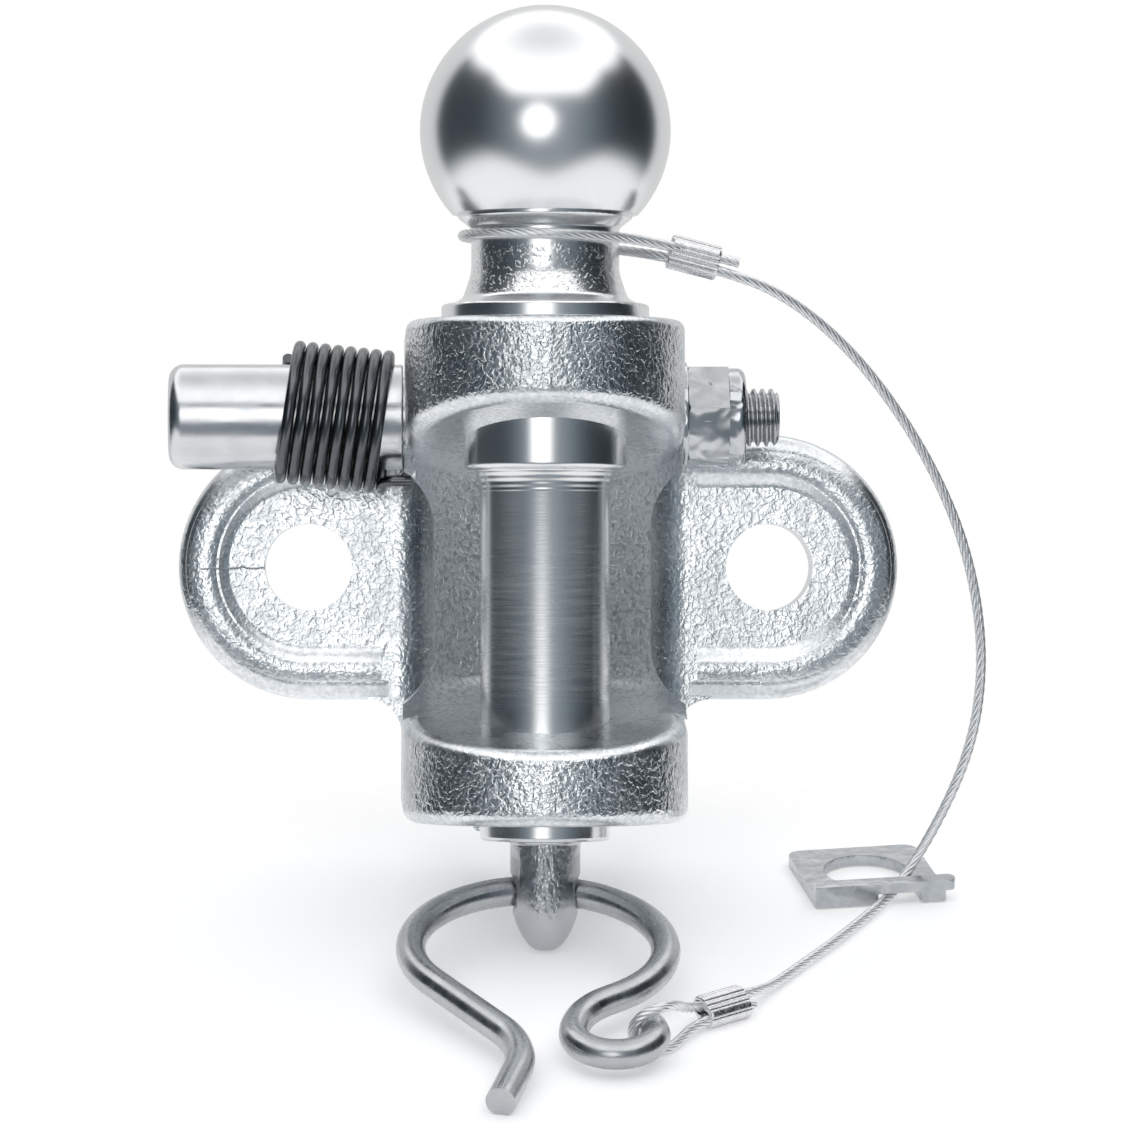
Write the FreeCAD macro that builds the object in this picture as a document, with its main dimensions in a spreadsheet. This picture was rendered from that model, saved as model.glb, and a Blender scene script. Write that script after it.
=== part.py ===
import FreeCAD, Part
import math
import os

import Sketcher
from FreeCAD import Placement, Rotation, Vector

# Ball and pin coupling: a cast housing bolts to a vehicle's bracket by two lugs. A ball pin drops
# through its two jaws and carries a towing eye between them or a coupling head on its ball. A
# sprung cross spindle locks the pin, and a wire clip on a lanyard secures the pin's tail.
#
# Frame: the origin is midway between the fixing holes on the flat mounting face. +Y leaves that
# face towards the vehicle, +Z runs up the ball pin and +X runs to the lock nut's side.

doc = FreeCAD.newDocument("ball_and_pin_coupling")

SIZES = {
    # Lug flange, with the two fixing holes
    "flange_length": 148.4,
    "flange_height": 54.6,
    "flange_depth": 13.0,
    "hole_spacing": 95.0,
    "fixing_hole": 18.0,
    "flange_edge": 4.0,
    "dish_margin": 4.3,
    "dish_depth": 1.1,
    "flange_fillet": 8.0,
    "lug_web": 7.0,
    # Jaw block, measured from the pin's axis or from the origin's level
    "pin_distance": 49.0,
    "jaw_width": 55.8,
    "jaw_spread": 1.1,
    "jaw_draft": 0.4,
    "jaw_reach": 29.0,
    "body_top": 48.8,
    "body_bottom": 51.0,
    "back_relief": 3.0,
    "roof_level": 24.7,
    "roof_slope": 15.0,
    "floor_level": 30.3,
    "floor_slope": 12.0,
    "gap_radius": 29.0,
    "gap_corner": 6.0,
    "waist_width": 44.0,
    "waist_top": 22.0,
    "waist_bottom": 30.0,
    "waist_corner": 14.0,
    "block_edge": 2.0,
    "roof_edge": 3.5,
    "floor_edge": 3.0,
    "chin_edge": 3.0,
    "chin_drop": 3.4,
    "chin_width": 37.0,
    "chin_depth": 10.0,
    "chin_shift": 2.0,
    # Ball pin
    "ball_dia": 50.0,
    "ball_level": 86.7,
    "ball_base": 70.0,
    "neck_dia": 29.5,
    "neck_lip": 2.6,
    "lip_height": 0.8,
    "lip_drop": 2.8,
    "neck_flare": 4.0,
    "flare_height": 6.4,
    "collar_dia": 41.4,
    "collar_height": 3.2,
    "head_dia": 32.5,
    "head_end": 19.1,
    "shank_dia": 26.0,
    "shank_start": 15.7,
    "shank_end": 54.6,
    "tail_dia": 14.0,
    "tail_end": 76.5,
    "tail_tip_dia": 9.2,
    "tail_taper": 8.0,
    "clip_hole": 8.0,
    "clip_level": 65.0,
    "running_gap": 0.05,
    # Lock spindle and what is on it
    "spindle_offset": 21.5,
    "spindle_level": 30.3,
    "spindle_dia": 16.0,
    "flat_height": 5.0,
    "flat_length": 36.0,
    "notch_gap": 0.8,
    "grip_dia": 21.3,
    "grip_length": 47.4,
    "grip_edge": 3.0,
    "grip_gap": 0.3,
    "thread_dia": 11.8,
    "spindle_end": 48.2,
    "washer_dia": 22.5,
    "washer_depth": 1.4,
    "nut_flats": 19.0,
    "nut_depth": 8.3,
    "nut_turn": 21.5,
    "nut_collar": 20.0,
    "nut_height": 11.8,
    "insert_dia": 15.0,
    "insert_depth": 2.6,
    "insert_bore": 11.84,
    # Torsion spring round the grip
    "spring_wire": 2.3,
    "spring_dia": 27.0,
    "spring_pitch": 2.58,
    "spring_turns": 8.46,
    "spring_middle": 41.9,
    "spring_tilt": 6.1,
    "spring_start_angle": 34.0,
    "spring_leg_bend": 2.4,
    "spring_leg_end": 26.6,
    "spring_leg_hole": 2.6,
    # Lanyard rope, ferrules and anchor plate
    "rope_dia": 2.1,
    "rope_gap": 0.3,
    "ferrule_length": 10.2,
    "ferrule_width": 7.0,
    "ferrule_depth": 4.8,
    "ferrule_edge": 0.6,
    "strand_spacing": 2.5,
    "strand_gap": 0.02,
    "neck_strand_end": 9.0,
    "clip_strand_end": 7.0,
    "flute_radius": 0.5,
    "ferrule_mouth": 1.5,
    "loop_angle": 10.0,
    "plate_width": 27.4,
    "plate_length": 27.0,
    "plate_depth": 2.3,
    "plate_corner": 3.0,
    "plate_hole": 17.5,
    "hem_depth": 2.2,
    "hem_width": 3.6,
    "hem_overhang": 2.0,
    "rope_notch": 9.2,
    "rope_notch_shift": 3.9,
    "plate_hole_shift": 0.2,
    "plate_turn": 9.0,
    "table_slope": 18.3,
    # Wire clip, as the bender sets it
    "clip_wire": 5.8,
    "clip_radius": 24.9,
    "clip_offset": 2.1,
    "clip_tilt": 24.0,
    "leg_turn": 123.5,
    "leg_run": 23.0,
    "leg_bend": 20.0,
    "leg_bend_turn": 49.0,
    "leg_end": 12.2,
    "eye_turn": 143.1,
    "eye_run": 3.1,
    "eye_lead_bend": 16.8,
    "eye_lead_turn": 53.1,
    "eye_bend": 7.7,
    "eye_bend_turn": 212.0,
    "eye_centre": 11.35,
    "eye_reach": 60.2,
}

sheet = doc.addObject("Spreadsheet::Sheet", "sizes")
for row, (alias, number) in enumerate(SIZES.items(), start=1):
    sheet.set(f"A{row}", alias)
    sheet.set(f"B{row}", str(number))
    sheet.setAlias(f"B{row}", alias)
doc.recompute()


class Size:
    """A size that knows its number and the expression that ties it to the sheet."""

    def __init__(self, number, text=None):
        self.number = float(number)
        self.text = repr(float(number)) if text is None else text

    def __add__(self, other):
        other = as_size(other)
        return Size(self.number + other.number, f"({self.text} + {other.text})")

    def __sub__(self, other):
        other = as_size(other)
        return Size(self.number - other.number, f"({self.text} - {other.text})")

    def __mul__(self, other):
        other = as_size(other)
        return Size(self.number * other.number, f"({self.text} * {other.text})")

    def __truediv__(self, other):
        other = as_size(other)
        return Size(self.number / other.number, f"({self.text} / {other.text})")

    def __neg__(self):
        return Size(-self.number, f"(-1 * {self.text})")

    def __radd__(self, other):
        return as_size(other) + self

    def __rsub__(self, other):
        return as_size(other) - self

    def __rmul__(self, other):
        return as_size(other) * self


def as_size(value):
    return value if isinstance(value, Size) else Size(value)


def cell(alias):
    return Size(getattr(sheet, alias), f"sizes.{alias}")


def number(alias):
    return float(getattr(sheet, alias))


def tangent(angle):
    return Size(math.tan(math.radians(angle.number)), f"tan({angle.text} * 1 deg)")


def sine(angle):
    return Size(math.sin(math.radians(angle.number)), f"sin({angle.text} * 1 deg)")


def cosine(angle):
    return Size(math.cos(math.radians(angle.number)), f"cos({angle.text} * 1 deg)")


def arc_sine(ratio):
    return Size(math.degrees(math.asin(ratio.number)), f"asin({ratio.text})")


def bind(thing, prop, size):
    thing.setExpression(prop, as_size(size).text)


def place(thing, x=0.0, y=0.0, z=0.0, rotation=None):
    """Put a primitive at a bound position, turned by a fixed rotation."""
    base = Vector(as_size(x).number, as_size(y).number, as_size(z).number)
    thing.Placement = Placement(base, rotation or Rotation())
    for axis, size in zip("xyz", (x, y, z)):
        if isinstance(size, Size):
            bind(thing, f"Placement.Base.{axis}", size)


XY = Rotation()
XZ = Rotation(Vector(1, 0, 0), 90)
YZ = Rotation(Vector(1, 1, 1), 120)
ALONG_X = Rotation(Vector(0, 1, 0), 90)
ALONG_BACK = Rotation(Vector(1, 0, 0), -90)


def new_sketch(name, plane, offset=0.0):
    """A sketch on a main plane; XZ reads x, z and faces the front, and YZ reads y, z."""
    sketch = doc.addObject("Sketcher::SketchObject", name)
    normal = plane.multVec(Vector(0, 0, 1))
    reach = as_size(offset)
    sketch.Placement = Placement(normal * reach.number, plane)
    if isinstance(offset, Size):
        for axis, part in zip("xyz", normal):
            if abs(part) > 0.5:
                bind(sketch, f"Placement.Base.{axis}", reach * round(part))
    return sketch


def body_sketch(body, name, role):
    """A sketch on one of the main planes of its own body."""
    sketch = body.newObject("Sketcher::SketchObject", name)
    plane = [part for part in body.Origin.OriginFeatures if part.Role == role][0]
    sketch.AttachmentSupport = [(plane, "")]
    sketch.MapMode = "FlatFace"
    return sketch


def pin_point(sketch, geometry, point, x, y):
    """Hold one sketch point at a bound position."""
    for kind, size in (("DistanceX", as_size(x)), ("DistanceY", as_size(y))):
        index = sketch.addConstraint(
            Sketcher.Constraint(kind, -1, 1, geometry, point, size.number))
        bind(sketch, f"Constraints[{index}]", size)


def hold_radius(sketch, geometry, radius):
    radius = as_size(radius)
    index = sketch.addConstraint(Sketcher.Constraint("Radius", geometry, radius.number))
    bind(sketch, f"Constraints[{index}]", radius)


def circle(sketch, x, y, radius):
    x, y, radius = as_size(x), as_size(y), as_size(radius)
    centre = Vector(x.number, y.number, 0)
    ring = sketch.addGeometry(Part.Circle(centre, Vector(0, 0, 1), radius.number), False)
    pin_point(sketch, ring, 3, x, y)
    hold_radius(sketch, ring, radius)


def outline(sketch, corners):
    """Draw a closed outline. A corner is (x, y) or (x, y, radius) with a tangent arc."""
    spots = [Vector(as_size(c[0]).number, as_size(c[1]).number, 0) for c in corners]
    count = len(corners)
    arrive, leave, arcs = [], [], []
    for i, corner in enumerate(corners):
        spot = spots[i]
        if len(corner) == 2:
            arrive.append(spot)
            leave.append(spot)
            arcs.append(None)
            continue
        radius = as_size(corner[2]).number
        back = (spots[i - 1] - spot).normalize()
        ahead = (spots[(i + 1) % count] - spot).normalize()
        half = back.getAngle(ahead) / 2
        run = radius / math.tan(half)
        centre = spot + (back + ahead).normalize() * (radius / math.sin(half))
        arrive.append(spot + back * run)
        leave.append(spot + ahead * run)
        arcs.append((centre, radius))
    lines = []
    for i in range(count):
        line = Part.LineSegment(leave[i], arrive[(i + 1) % count])
        lines.append(sketch.addGeometry(line, False))
    for i, corner in enumerate(corners):
        before, after = lines[i - 1], lines[i]
        if arcs[i] is None:
            sketch.addConstraint(Sketcher.Constraint("Coincident", before, 2, after, 1))
            pin_point(sketch, after, 1, corner[0], corner[1])
            continue
        centre, radius = arcs[i]
        start, end = arrive[i] - centre, leave[i] - centre
        turns_left = start.cross(end).z > 0
        first, last = (start, end) if turns_left else (end, start)
        bend = Part.ArcOfCircle(Part.Circle(centre, Vector(0, 0, 1), radius),
                                math.atan2(first.y, first.x), math.atan2(last.y, last.x))
        arc = sketch.addGeometry(bend, False)
        near, far = (1, 2) if turns_left else (2, 1)
        sketch.addConstraint(Sketcher.Constraint("Tangent", before, 2, arc, near))
        sketch.addConstraint(Sketcher.Constraint("Tangent", arc, far, after, 1))
        hold_radius(sketch, arc, corner[2])
        tip = sketch.addGeometry(Part.Point(spots[i]), True)
        sketch.addConstraint(Sketcher.Constraint("PointOnObject", tip, 1, before))
        sketch.addConstraint(Sketcher.Constraint("PointOnObject", tip, 1, after))
        pin_point(sketch, tip, 1, corner[0], corner[1])


def slot_outline(sketch, length, height):
    """A stadium centred on the sketch's origin, its long side along x."""
    radius = height / 2
    reach = length / 2 - radius
    up = Vector(0, radius.number, 0)
    side = Vector(reach.number, 0, 0)
    normal = Vector(0, 0, 1)
    top = sketch.addGeometry(Part.LineSegment(side + up, up - side), False)
    left = sketch.addGeometry(Part.ArcOfCircle(
        Part.Circle(-side, normal, radius.number), math.pi / 2, 3 * math.pi / 2), False)
    base = sketch.addGeometry(Part.LineSegment(-side - up, side - up), False)
    right = sketch.addGeometry(Part.ArcOfCircle(
        Part.Circle(side, normal, radius.number), -math.pi / 2, math.pi / 2), False)
    for one, end, other, start in ((top, 2, left, 1), (left, 2, base, 1),
                                   (base, 2, right, 1), (right, 2, top, 1)):
        sketch.addConstraint(Sketcher.Constraint("Tangent", one, end, other, start))
    sketch.addConstraint(Sketcher.Constraint("Equal", left, right))
    hold_radius(sketch, right, radius)
    pin_point(sketch, left, 3, -reach, 0.0)
    pin_point(sketch, right, 3, reach, 0.0)


def extrude(name, sketch, length, both_ways=False, reverse=False):
    """Push a sketch along its own normal."""
    solid = doc.addObject("Part::Extrusion", name)
    solid.Base = sketch
    solid.DirMode = "Normal"
    solid.Solid = True
    solid.Symmetric = both_ways
    solid.Reversed = reverse
    bind(solid, "LengthFwd", length)
    return solid


def cylinder(name, radius, height, x=0.0, y=0.0, z=0.0, rotation=None):
    solid = doc.addObject("Part::Cylinder", name)
    bind(solid, "Radius", radius)
    bind(solid, "Height", height)
    place(solid, x, y, z, rotation)
    return solid


def box(name, size, x=0.0, y=0.0, z=0.0):
    solid = doc.addObject("Part::Box", name)
    for prop, length in zip(("Length", "Width", "Height"), size):
        bind(solid, prop, length)
    place(solid, x, y, z)
    return solid


def fuse(name, *parts):
    joined = doc.addObject("Part::MultiFuse", name)
    joined.Shapes = list(parts)
    joined.Refine = True
    return joined


def cut(name, base, *tools):
    """Take the tools out of the base."""
    carved = doc.addObject("Part::Cut", name)
    carved.Base = base
    if len(tools) > 1:
        carved.Tool = fuse(f"{name}_tools", *tools)
    else:
        carved.Tool = tools[0]
    carved.Refine = True
    return carved


def overlap(name, *parts):
    shared = doc.addObject("Part::MultiCommon", name)
    shared.Shapes = list(parts)
    return shared


def round_edges(name, base, radius, wanted):
    """Round each edge of the base that the test picks."""
    doc.recompute()
    picked = [(index, radius, radius) for index, edge in enumerate(base.Shape.Edges, start=1)
              if wanted(edge)]
    if not picked:
        raise ValueError(f"{name} finds no edge to round")
    rounded = doc.addObject("Part::Fillet", name)
    rounded.Base = base
    rounded.Edges = picked
    return rounded


def round_many(name, base, rules):
    """Round the edges that each rule's test picks, each rule with its own radius."""
    doc.recompute()
    picked = []
    for radius, wanted in rules:
        found = [(index, radius, radius) for index, edge in enumerate(base.Shape.Edges, start=1)
                 if wanted(edge)]
        if not found:
            raise ValueError(f"{name} finds no edge for radius {radius}")
        picked.extend(found)
    rounded = doc.addObject("Part::Fillet", name)
    rounded.Base = base
    rounded.Edges = picked
    return rounded


def mirrored(name, source):
    """The same solid on the other side of the plane x = 0."""
    copy = doc.addObject("Part::Mirroring", name)
    copy.Source = source
    copy.Normal = Vector(1, 0, 0)
    return copy


nodes = []


def keep(thing, label):
    """Name a finished sub-part; the label is also its file's name."""
    thing.Label = label
    nodes.append(thing)
    return thing


# Places that several pieces share
pin_y = -cell("pin_distance")
body_top = cell("body_top")
body_bottom = -cell("body_bottom")
jaw_half = cell("jaw_width") / 2
spindle_y = pin_y + cell("spindle_offset")
spindle_z = cell("spindle_level")
clip_z = -cell("clip_level")
running_gap = cell("running_gap")
head_radius = cell("head_dia") / 2
shank_radius = cell("shank_dia") / 2
spindle_radius = cell("spindle_dia") / 2
FAR = 200.0


def elbow(spot, heading, target, radius):
    """An arc that leaves a spot along its heading and turns to the target heading."""
    start = Vector(heading).normalize()
    finish = Vector(target).normalize()
    turn = start.getAngle(finish)
    inward = (finish - start * start.dot(finish)).normalize()
    centre = spot + inward * radius
    middle = centre - inward * (radius * math.cos(turn / 2)) + start * (radius * math.sin(turn / 2))
    end = centre - inward * (radius * math.cos(turn)) + start * (radius * math.sin(turn))
    return Part.Arc(spot, middle, end).toShape(), end


def spring_frame():
    """The torsion spring's seat, and the place and heading where its coils end."""
    radius = number("spring_dia") / 2
    length = number("spring_pitch") * number("spring_turns")
    middle = Vector(-number("spring_middle"), spindle_y.number, spindle_z.number)
    along = Rotation(Vector(0, 1, 0), 90 + number("spring_tilt"))
    spin = Rotation(Vector(0, 0, 1), 180 - number("spring_start_angle"))
    seat = Placement(middle, along) * Placement(Vector(0, 0, -length / 2), spin)
    last = -number("spring_turns") * 2 * math.pi
    end = seat.multVec(Vector(radius * math.cos(last), radius * math.sin(last), length))
    heading = seat.Rotation.multVec(Vector(math.sin(last), -math.cos(last),
                                           number("spring_pitch") / (2 * math.pi * radius)))
    return seat, end, heading.normalize()


# Housing: one casting, with a lug flange behind and two jaws round the pin
def make_housing():
    flange_front = -cell("flange_depth")

    lugs = new_sketch("flange_outline", XZ)
    slot_outline(lugs, cell("flange_length"), cell("flange_height"))
    flange = extrude("flange_slab", lugs, cell("flange_depth"))
    flange = round_edges("flange_rounded", flange, number("flange_edge"),
                         lambda edge: edge.BoundBox.YMax < flange_front.number + 0.01)

    dish = new_sketch("dish_outline", XZ, cell("flange_depth") - cell("dish_depth"))
    slot_outline(dish, cell("flange_length") - 2 * (cell("dish_margin") + cell("flange_edge")),
                 cell("flange_height") - 2 * (cell("dish_margin") + cell("flange_edge")))
    hollow = extrude("flange_dish", dish, 2 * cell("dish_depth"))
    flange = cut("flange", flange, hollow)

    # The jaw block is a U in plan, a little wider at its foot
    low_half = (cell("jaw_width") + cell("jaw_spread")) / 2
    nose = low_half - 0.1
    plan = new_sketch("jaw_plan", XY, body_bottom)
    outline(plan, [(-low_half, -cell("back_relief")),
                   (-low_half, pin_y - cell("jaw_reach"), nose),
                   (low_half, pin_y - cell("jaw_reach"), nose),
                   (low_half, -cell("back_relief"))])
    block = extrude("jaw_block", plan, body_top - body_bottom)
    bind(block, "TaperAngle", -cell("jaw_draft"))

    # The space for the towing eye: the roof rises and the floor falls towards the front
    front_y = pin_y - FAR
    roof_rise = tangent(cell("roof_slope"))
    floor_fall = tangent(cell("floor_slope"))
    back = cell("pin_distance")
    side = new_sketch("gap_side", YZ)
    outline(side, [(0.0, cell("roof_level") - back * roof_rise),
                   (front_y, cell("roof_level") + FAR * roof_rise),
                   (front_y, -cell("floor_level") - FAR * floor_fall),
                   (0.0, -cell("floor_level") + back * floor_fall)])
    wedge = extrude("gap_wedge", side, FAR, both_ways=True)
    flare = Size(30.0)
    wall_y = pin_y + cell("gap_radius")
    corner_x = cell("gap_radius") / tangent(Size(45.0) + flare / 2) + 0.05
    reach = FAR / 2
    gap_plan = new_sketch("gap_plan", XY, -FAR)
    outline(gap_plan, [(-corner_x, wall_y, cell("gap_radius")),
                       (-corner_x - reach * sine(flare), wall_y - reach * cosine(flare)),
                       (corner_x + reach * sine(flare), wall_y - reach * cosine(flare)),
                       (corner_x, wall_y, cell("gap_radius"))])
    well = extrude("gap_well", gap_plan, 2 * FAR)
    gap = overlap("eye_space_sharp", wedge, well)
    soft_gap = round_edges("eye_space", gap, number("gap_corner"), is_gap_root)

    # The waist is narrower than the jaws on both sides
    waist_half = cell("waist_width") / 2
    waist = new_sketch("waist_side", XZ, cell("flange_depth"))
    outline(waist, [(waist_half, -cell("waist_bottom"), cell("waist_corner")),
                    (cell("jaw_width"), -cell("waist_bottom")),
                    (cell("jaw_width"), cell("waist_top")),
                    (waist_half, cell("waist_top"), cell("waist_corner"))])
    right_waist = extrude("right_waist", waist, FAR)
    left_waist = mirrored("left_waist", right_waist)

    # A ragged cast lip hangs below the lower jaw, behind the pin
    chin = new_sketch("chin_front", XZ, cell("pin_distance") - shank_radius - 4.5)
    left = cell("chin_shift") - cell("chin_width") / 2
    right = cell("chin_shift") + cell("chin_width") / 2
    outline(chin, [(left, body_bottom + 1.0),
                   (left + 3.2, body_bottom - cell("chin_drop") * 0.75, 1.5),
                   (cell("chin_shift") - 2.0, body_bottom - cell("chin_drop"), 4.0),
                   (right - 9.0, body_bottom - cell("chin_drop") * 0.8, 4.0),
                   (right, body_bottom + 1.0)])
    chin = extrude("chin", chin, cell("chin_depth"), reverse=True)

    # Curved gussets carry the waist out into the lugs
    radius = cell("flange_fillet")
    root = flange_front + cell("dish_depth") + 0.1
    foot = flange_front - 0.05
    wide = waist_half + radius
    gusset = new_sketch("gusset_plan", XY, -cell("flange_height") / 2)
    outline(gusset, [(0.0, root), (wide + 1.0, root), (wide + 1.0, foot),
                     (waist_half, foot, radius),
                     (waist_half, foot - radius - 1.0), (0.0, foot - radius - 1.0)])
    right_gusset = extrude("right_gusset", gusset, cell("flange_height"))
    left_gusset = mirrored("left_gusset", right_gusset)

    # Small webs round the corners where the lugs' long edges meet the block
    webs = []
    web = cell("lug_web")
    lug_edge = cell("flange_height") / 2
    for name, way, block_side in (("low", -1.0, low_half - 0.15), ("high", 1.0, jaw_half + 0.1)):
        edge = lug_edge * way
        sketch = new_sketch(f"{name}_web", XZ, 3.0)
        outline(sketch, [(block_side + web + 0.3, edge - 2.0 * way),
                         (block_side + web + 0.3, edge),
                         (block_side, edge, web),
                         (block_side, edge + (web + 0.3) * way),
                         (block_side - 3.0, edge + (web + 0.3) * way),
                         (block_side - 3.0, edge - 2.0 * way)])
        webs.append(extrude(f"right_{name}_web", sketch, cell("flange_depth") - 5.0))
        webs.append(mirrored(f"left_{name}_web", webs[-1]))

    jaws = cut("jaws_sharp", block, gap)
    jaws = round_many("jaws_rounded", jaws, [
        (number("roof_edge"), is_roof_edge),
        (number("floor_edge"), is_floor_edge),
        (number("block_edge"), lambda edge: is_rim(edge, body_top.number)),
        (number("chin_edge"), lambda edge: is_rim(edge, body_bottom.number))])
    root_fillets = overlap("root_fillets", block, cut("root_ring", gap, soft_gap))
    jaws = cut("jaws", fuse("jaws_filled", jaws, root_fillets), right_waist, left_waist)
    whole = fuse("casting", flange, jaws, chin, right_gusset, left_gusset, *webs)

    head_bore = cylinder("head_bore", head_radius + running_gap, FAR / 2, 0.0, pin_y, 0.0)
    shank_bore = cylinder("shank_bore", shank_radius + running_gap, FAR, 0.0, pin_y, -FAR)
    spindle_bore = cylinder("spindle_bore", spindle_radius + running_gap, FAR,
                            -FAR / 2, spindle_y, spindle_z, ALONG_X)
    _, coil_end, coil_heading = spring_frame()
    leg_spot = elbow(coil_end, coil_heading, (1, 0, 0), number("spring_leg_bend"))[1]
    leg_hole = cylinder("leg_hole", cell("spring_leg_hole"), FAR / 2,
                        -jaw_half + 2.2 - FAR / 2, leg_spot.y, leg_spot.z, ALONG_X)
    holes = []
    for label, way in (("left", -1), ("right", 1)):
        holes.append(cylinder(f"{label}_fixing_hole", cell("fixing_hole") / 2, FAR,
                              way * cell("hole_spacing") / 2, -FAR / 2, 0.0, ALONG_BACK))
    return cut("housing_body", whole, head_bore, shank_bore, spindle_bore, leg_hole, *holes)


def edge_points(edge):
    return [edge.valueAt(edge.FirstParameter + (edge.LastParameter - edge.FirstParameter) * step)
            for step in (0.1, 0.5, 0.9)]


def on_slope(edge, level, rise):
    """Whether an edge lies on the roof's or the floor's sloping plane."""
    return all(abs(spot.z - level - rise * (pin_y.number - spot.y)) < 0.02
               for spot in edge_points(edge))


def on_roof(edge):
    return on_slope(edge, number("roof_level"), math.tan(math.radians(number("roof_slope"))))


def on_floor(edge):
    return on_slope(edge, -number("floor_level"), -math.tan(math.radians(number("floor_slope"))))


def is_gap_root(edge):
    """An edge between the eye space's wall and its roof or floor."""
    bounds = edge.BoundBox
    front = pin_y.number - FAR * 0.3
    return (on_roof(edge) or on_floor(edge)) and bounds.YMax > front


def is_outer(edge):
    """Whether an edge runs round the outside of the jaws' U."""
    side = jaw_half.number - 0.6
    nose = side - 0.3
    nose_y = pin_y.number - number("jaw_reach") + jaw_half.number
    return all(abs(spot.x) > side or (spot.y < nose_y and
               math.hypot(spot.x, spot.y - nose_y) > nose) for spot in edge_points(edge))


def is_roof_edge(edge):
    return on_roof(edge) and is_outer(edge)


def is_floor_edge(edge):
    return on_floor(edge) and is_outer(edge)


def is_rim(edge, level):
    """An edge round the nose of a jaw, at its top or bottom face."""
    bounds = edge.BoundBox
    flat = abs(bounds.ZMin - level) < 0.01 and abs(bounds.ZMax - level) < 0.01
    return flat and bounds.YMin < -number("back_relief") - 1.0


keep(make_housing(), "housing")


# Ball pin: turned from one bar, with a notch for the spindle and a drilled tail
def make_ball_pin():
    body = doc.addObject("PartDesign::Body", "ball_pin_body")
    place(body, 0.0, pin_y, 0.0)
    neck = cell("neck_dia") / 2
    collar = cell("collar_dia") / 2
    collar_top = body_top + cell("collar_height")
    lip = neck + cell("neck_lip")
    flare = neck + cell("neck_flare")
    tail = cell("tail_dia") / 2
    tip = cell("tail_tip_dia") / 2
    profile = body_sketch(body, "stem_profile", "XZ_Plane")
    outline(profile, [(0.0, cell("ball_base") + 2.0),
                      (lip, cell("ball_base") + 2.0),
                      (lip, cell("ball_base") - cell("lip_height"), 0.6),
                      (neck, cell("ball_base") - cell("lip_drop"), 1.0),
                      (neck, collar_top + cell("flare_height"), 8.0),
                      (neck + 0.42 * cell("neck_flare"), collar_top + 0.2 * cell("flare_height"), 2.0),
                      (flare, collar_top),
                      (collar, collar_top, 0.8),
                      (collar, body_top),
                      (head_radius, body_top),
                      (head_radius, cell("head_end"), 1.2),
                      (head_radius - 2.2, cell("head_end"), 0.6),
                      (shank_radius, cell("shank_start")),
                      (shank_radius, -cell("shank_end"), 0.9),
                      (tail, -cell("shank_end"), 1.0),
                      (tail, -cell("tail_end") + cell("tail_taper"), 6.0),
                      (tip, -cell("tail_end"), 2.5),
                      (0.0, -cell("tail_end"))])
    stem = body.newObject("PartDesign::Revolution", "stem")
    stem.Profile = profile
    stem.ReferenceAxis = (profile, ["V_Axis"])
    stem.Angle = 360.0
    body.Tip = stem
    doc.recompute()

    ball = body.newObject("PartDesign::AdditiveSphere", "ball")
    bind(ball, "Radius", cell("ball_dia") / 2)
    base_drop = (cell("ball_level") - cell("ball_base")) / (cell("ball_dia") / 2)
    bind(ball, "Angle1", -arc_sine(base_drop))
    place(ball, 0.0, 0.0, cell("ball_level"))
    body.Tip = ball

    hole = body.newObject("PartDesign::SubtractiveCylinder", "clip_hole")
    bind(hole, "Radius", cell("clip_hole") / 2)
    bind(hole, "Height", 2 * cell("tail_dia"))
    place(hole, -cell("tail_dia"), 0.0, clip_z, ALONG_X)
    body.Tip = hole

    # The spindle lies in a milled notch at the back of the head
    notch = body.newObject("PartDesign::SubtractiveCylinder", "spindle_notch")
    bind(notch, "Radius", spindle_radius + cell("notch_gap"))
    bind(notch, "Height", 2 * cell("head_dia"))
    place(notch, -cell("head_dia"), cell("spindle_offset"), spindle_z, ALONG_X)
    body.Tip = notch
    return body


keep(make_ball_pin(), "ball_pin")


# Lock spindle: a stout grip, a shaft with one milled flat, and a threaded end for the nut
def make_spindle():
    body = doc.addObject("PartDesign::Body", "lock_spindle_body")
    place(body, 0.0, spindle_y, spindle_z)
    grip_right = -jaw_half - cell("grip_gap")
    grip_left = grip_right - cell("grip_length")
    grip = cell("grip_dia") / 2
    thread = cell("thread_dia") / 2
    profile = body_sketch(body, "spindle_profile", "XY_Plane")
    outline(profile, [(grip_left, 0.0),
                      (grip_left, grip, cell("grip_edge")),
                      (grip_right, grip, 0.5),
                      (grip_right, spindle_radius),
                      (jaw_half, spindle_radius),
                      (jaw_half, thread),
                      (cell("spindle_end") - 1.0, thread),
                      (cell("spindle_end"), thread - 1.0),
                      (cell("spindle_end"), 0.0)])
    turned = body.newObject("PartDesign::Revolution", "turned_spindle")
    turned.Profile = profile
    turned.ReferenceAxis = (profile, ["H_Axis"])
    turned.Angle = 360.0
    body.Tip = turned
    doc.recompute()

    # The flat faces down while the spindle locks the pin
    flat = body.newObject("PartDesign::SubtractiveBox", "milled_flat")
    bind(flat, "Length", cell("flat_length"))
    bind(flat, "Width", 2 * cell("spindle_dia"))
    bind(flat, "Height", cell("spindle_dia"))
    place(flat, -cell("flat_length") / 2, -cell("spindle_dia"),
          -cell("flat_height") - cell("spindle_dia"))
    body.Tip = flat
    return body


keep(make_spindle(), "lock_spindle")

washer_face = jaw_half + 0.1
nut_face = washer_face + cell("washer_depth")
thread_clear = cell("thread_dia") / 2 + running_gap


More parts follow.
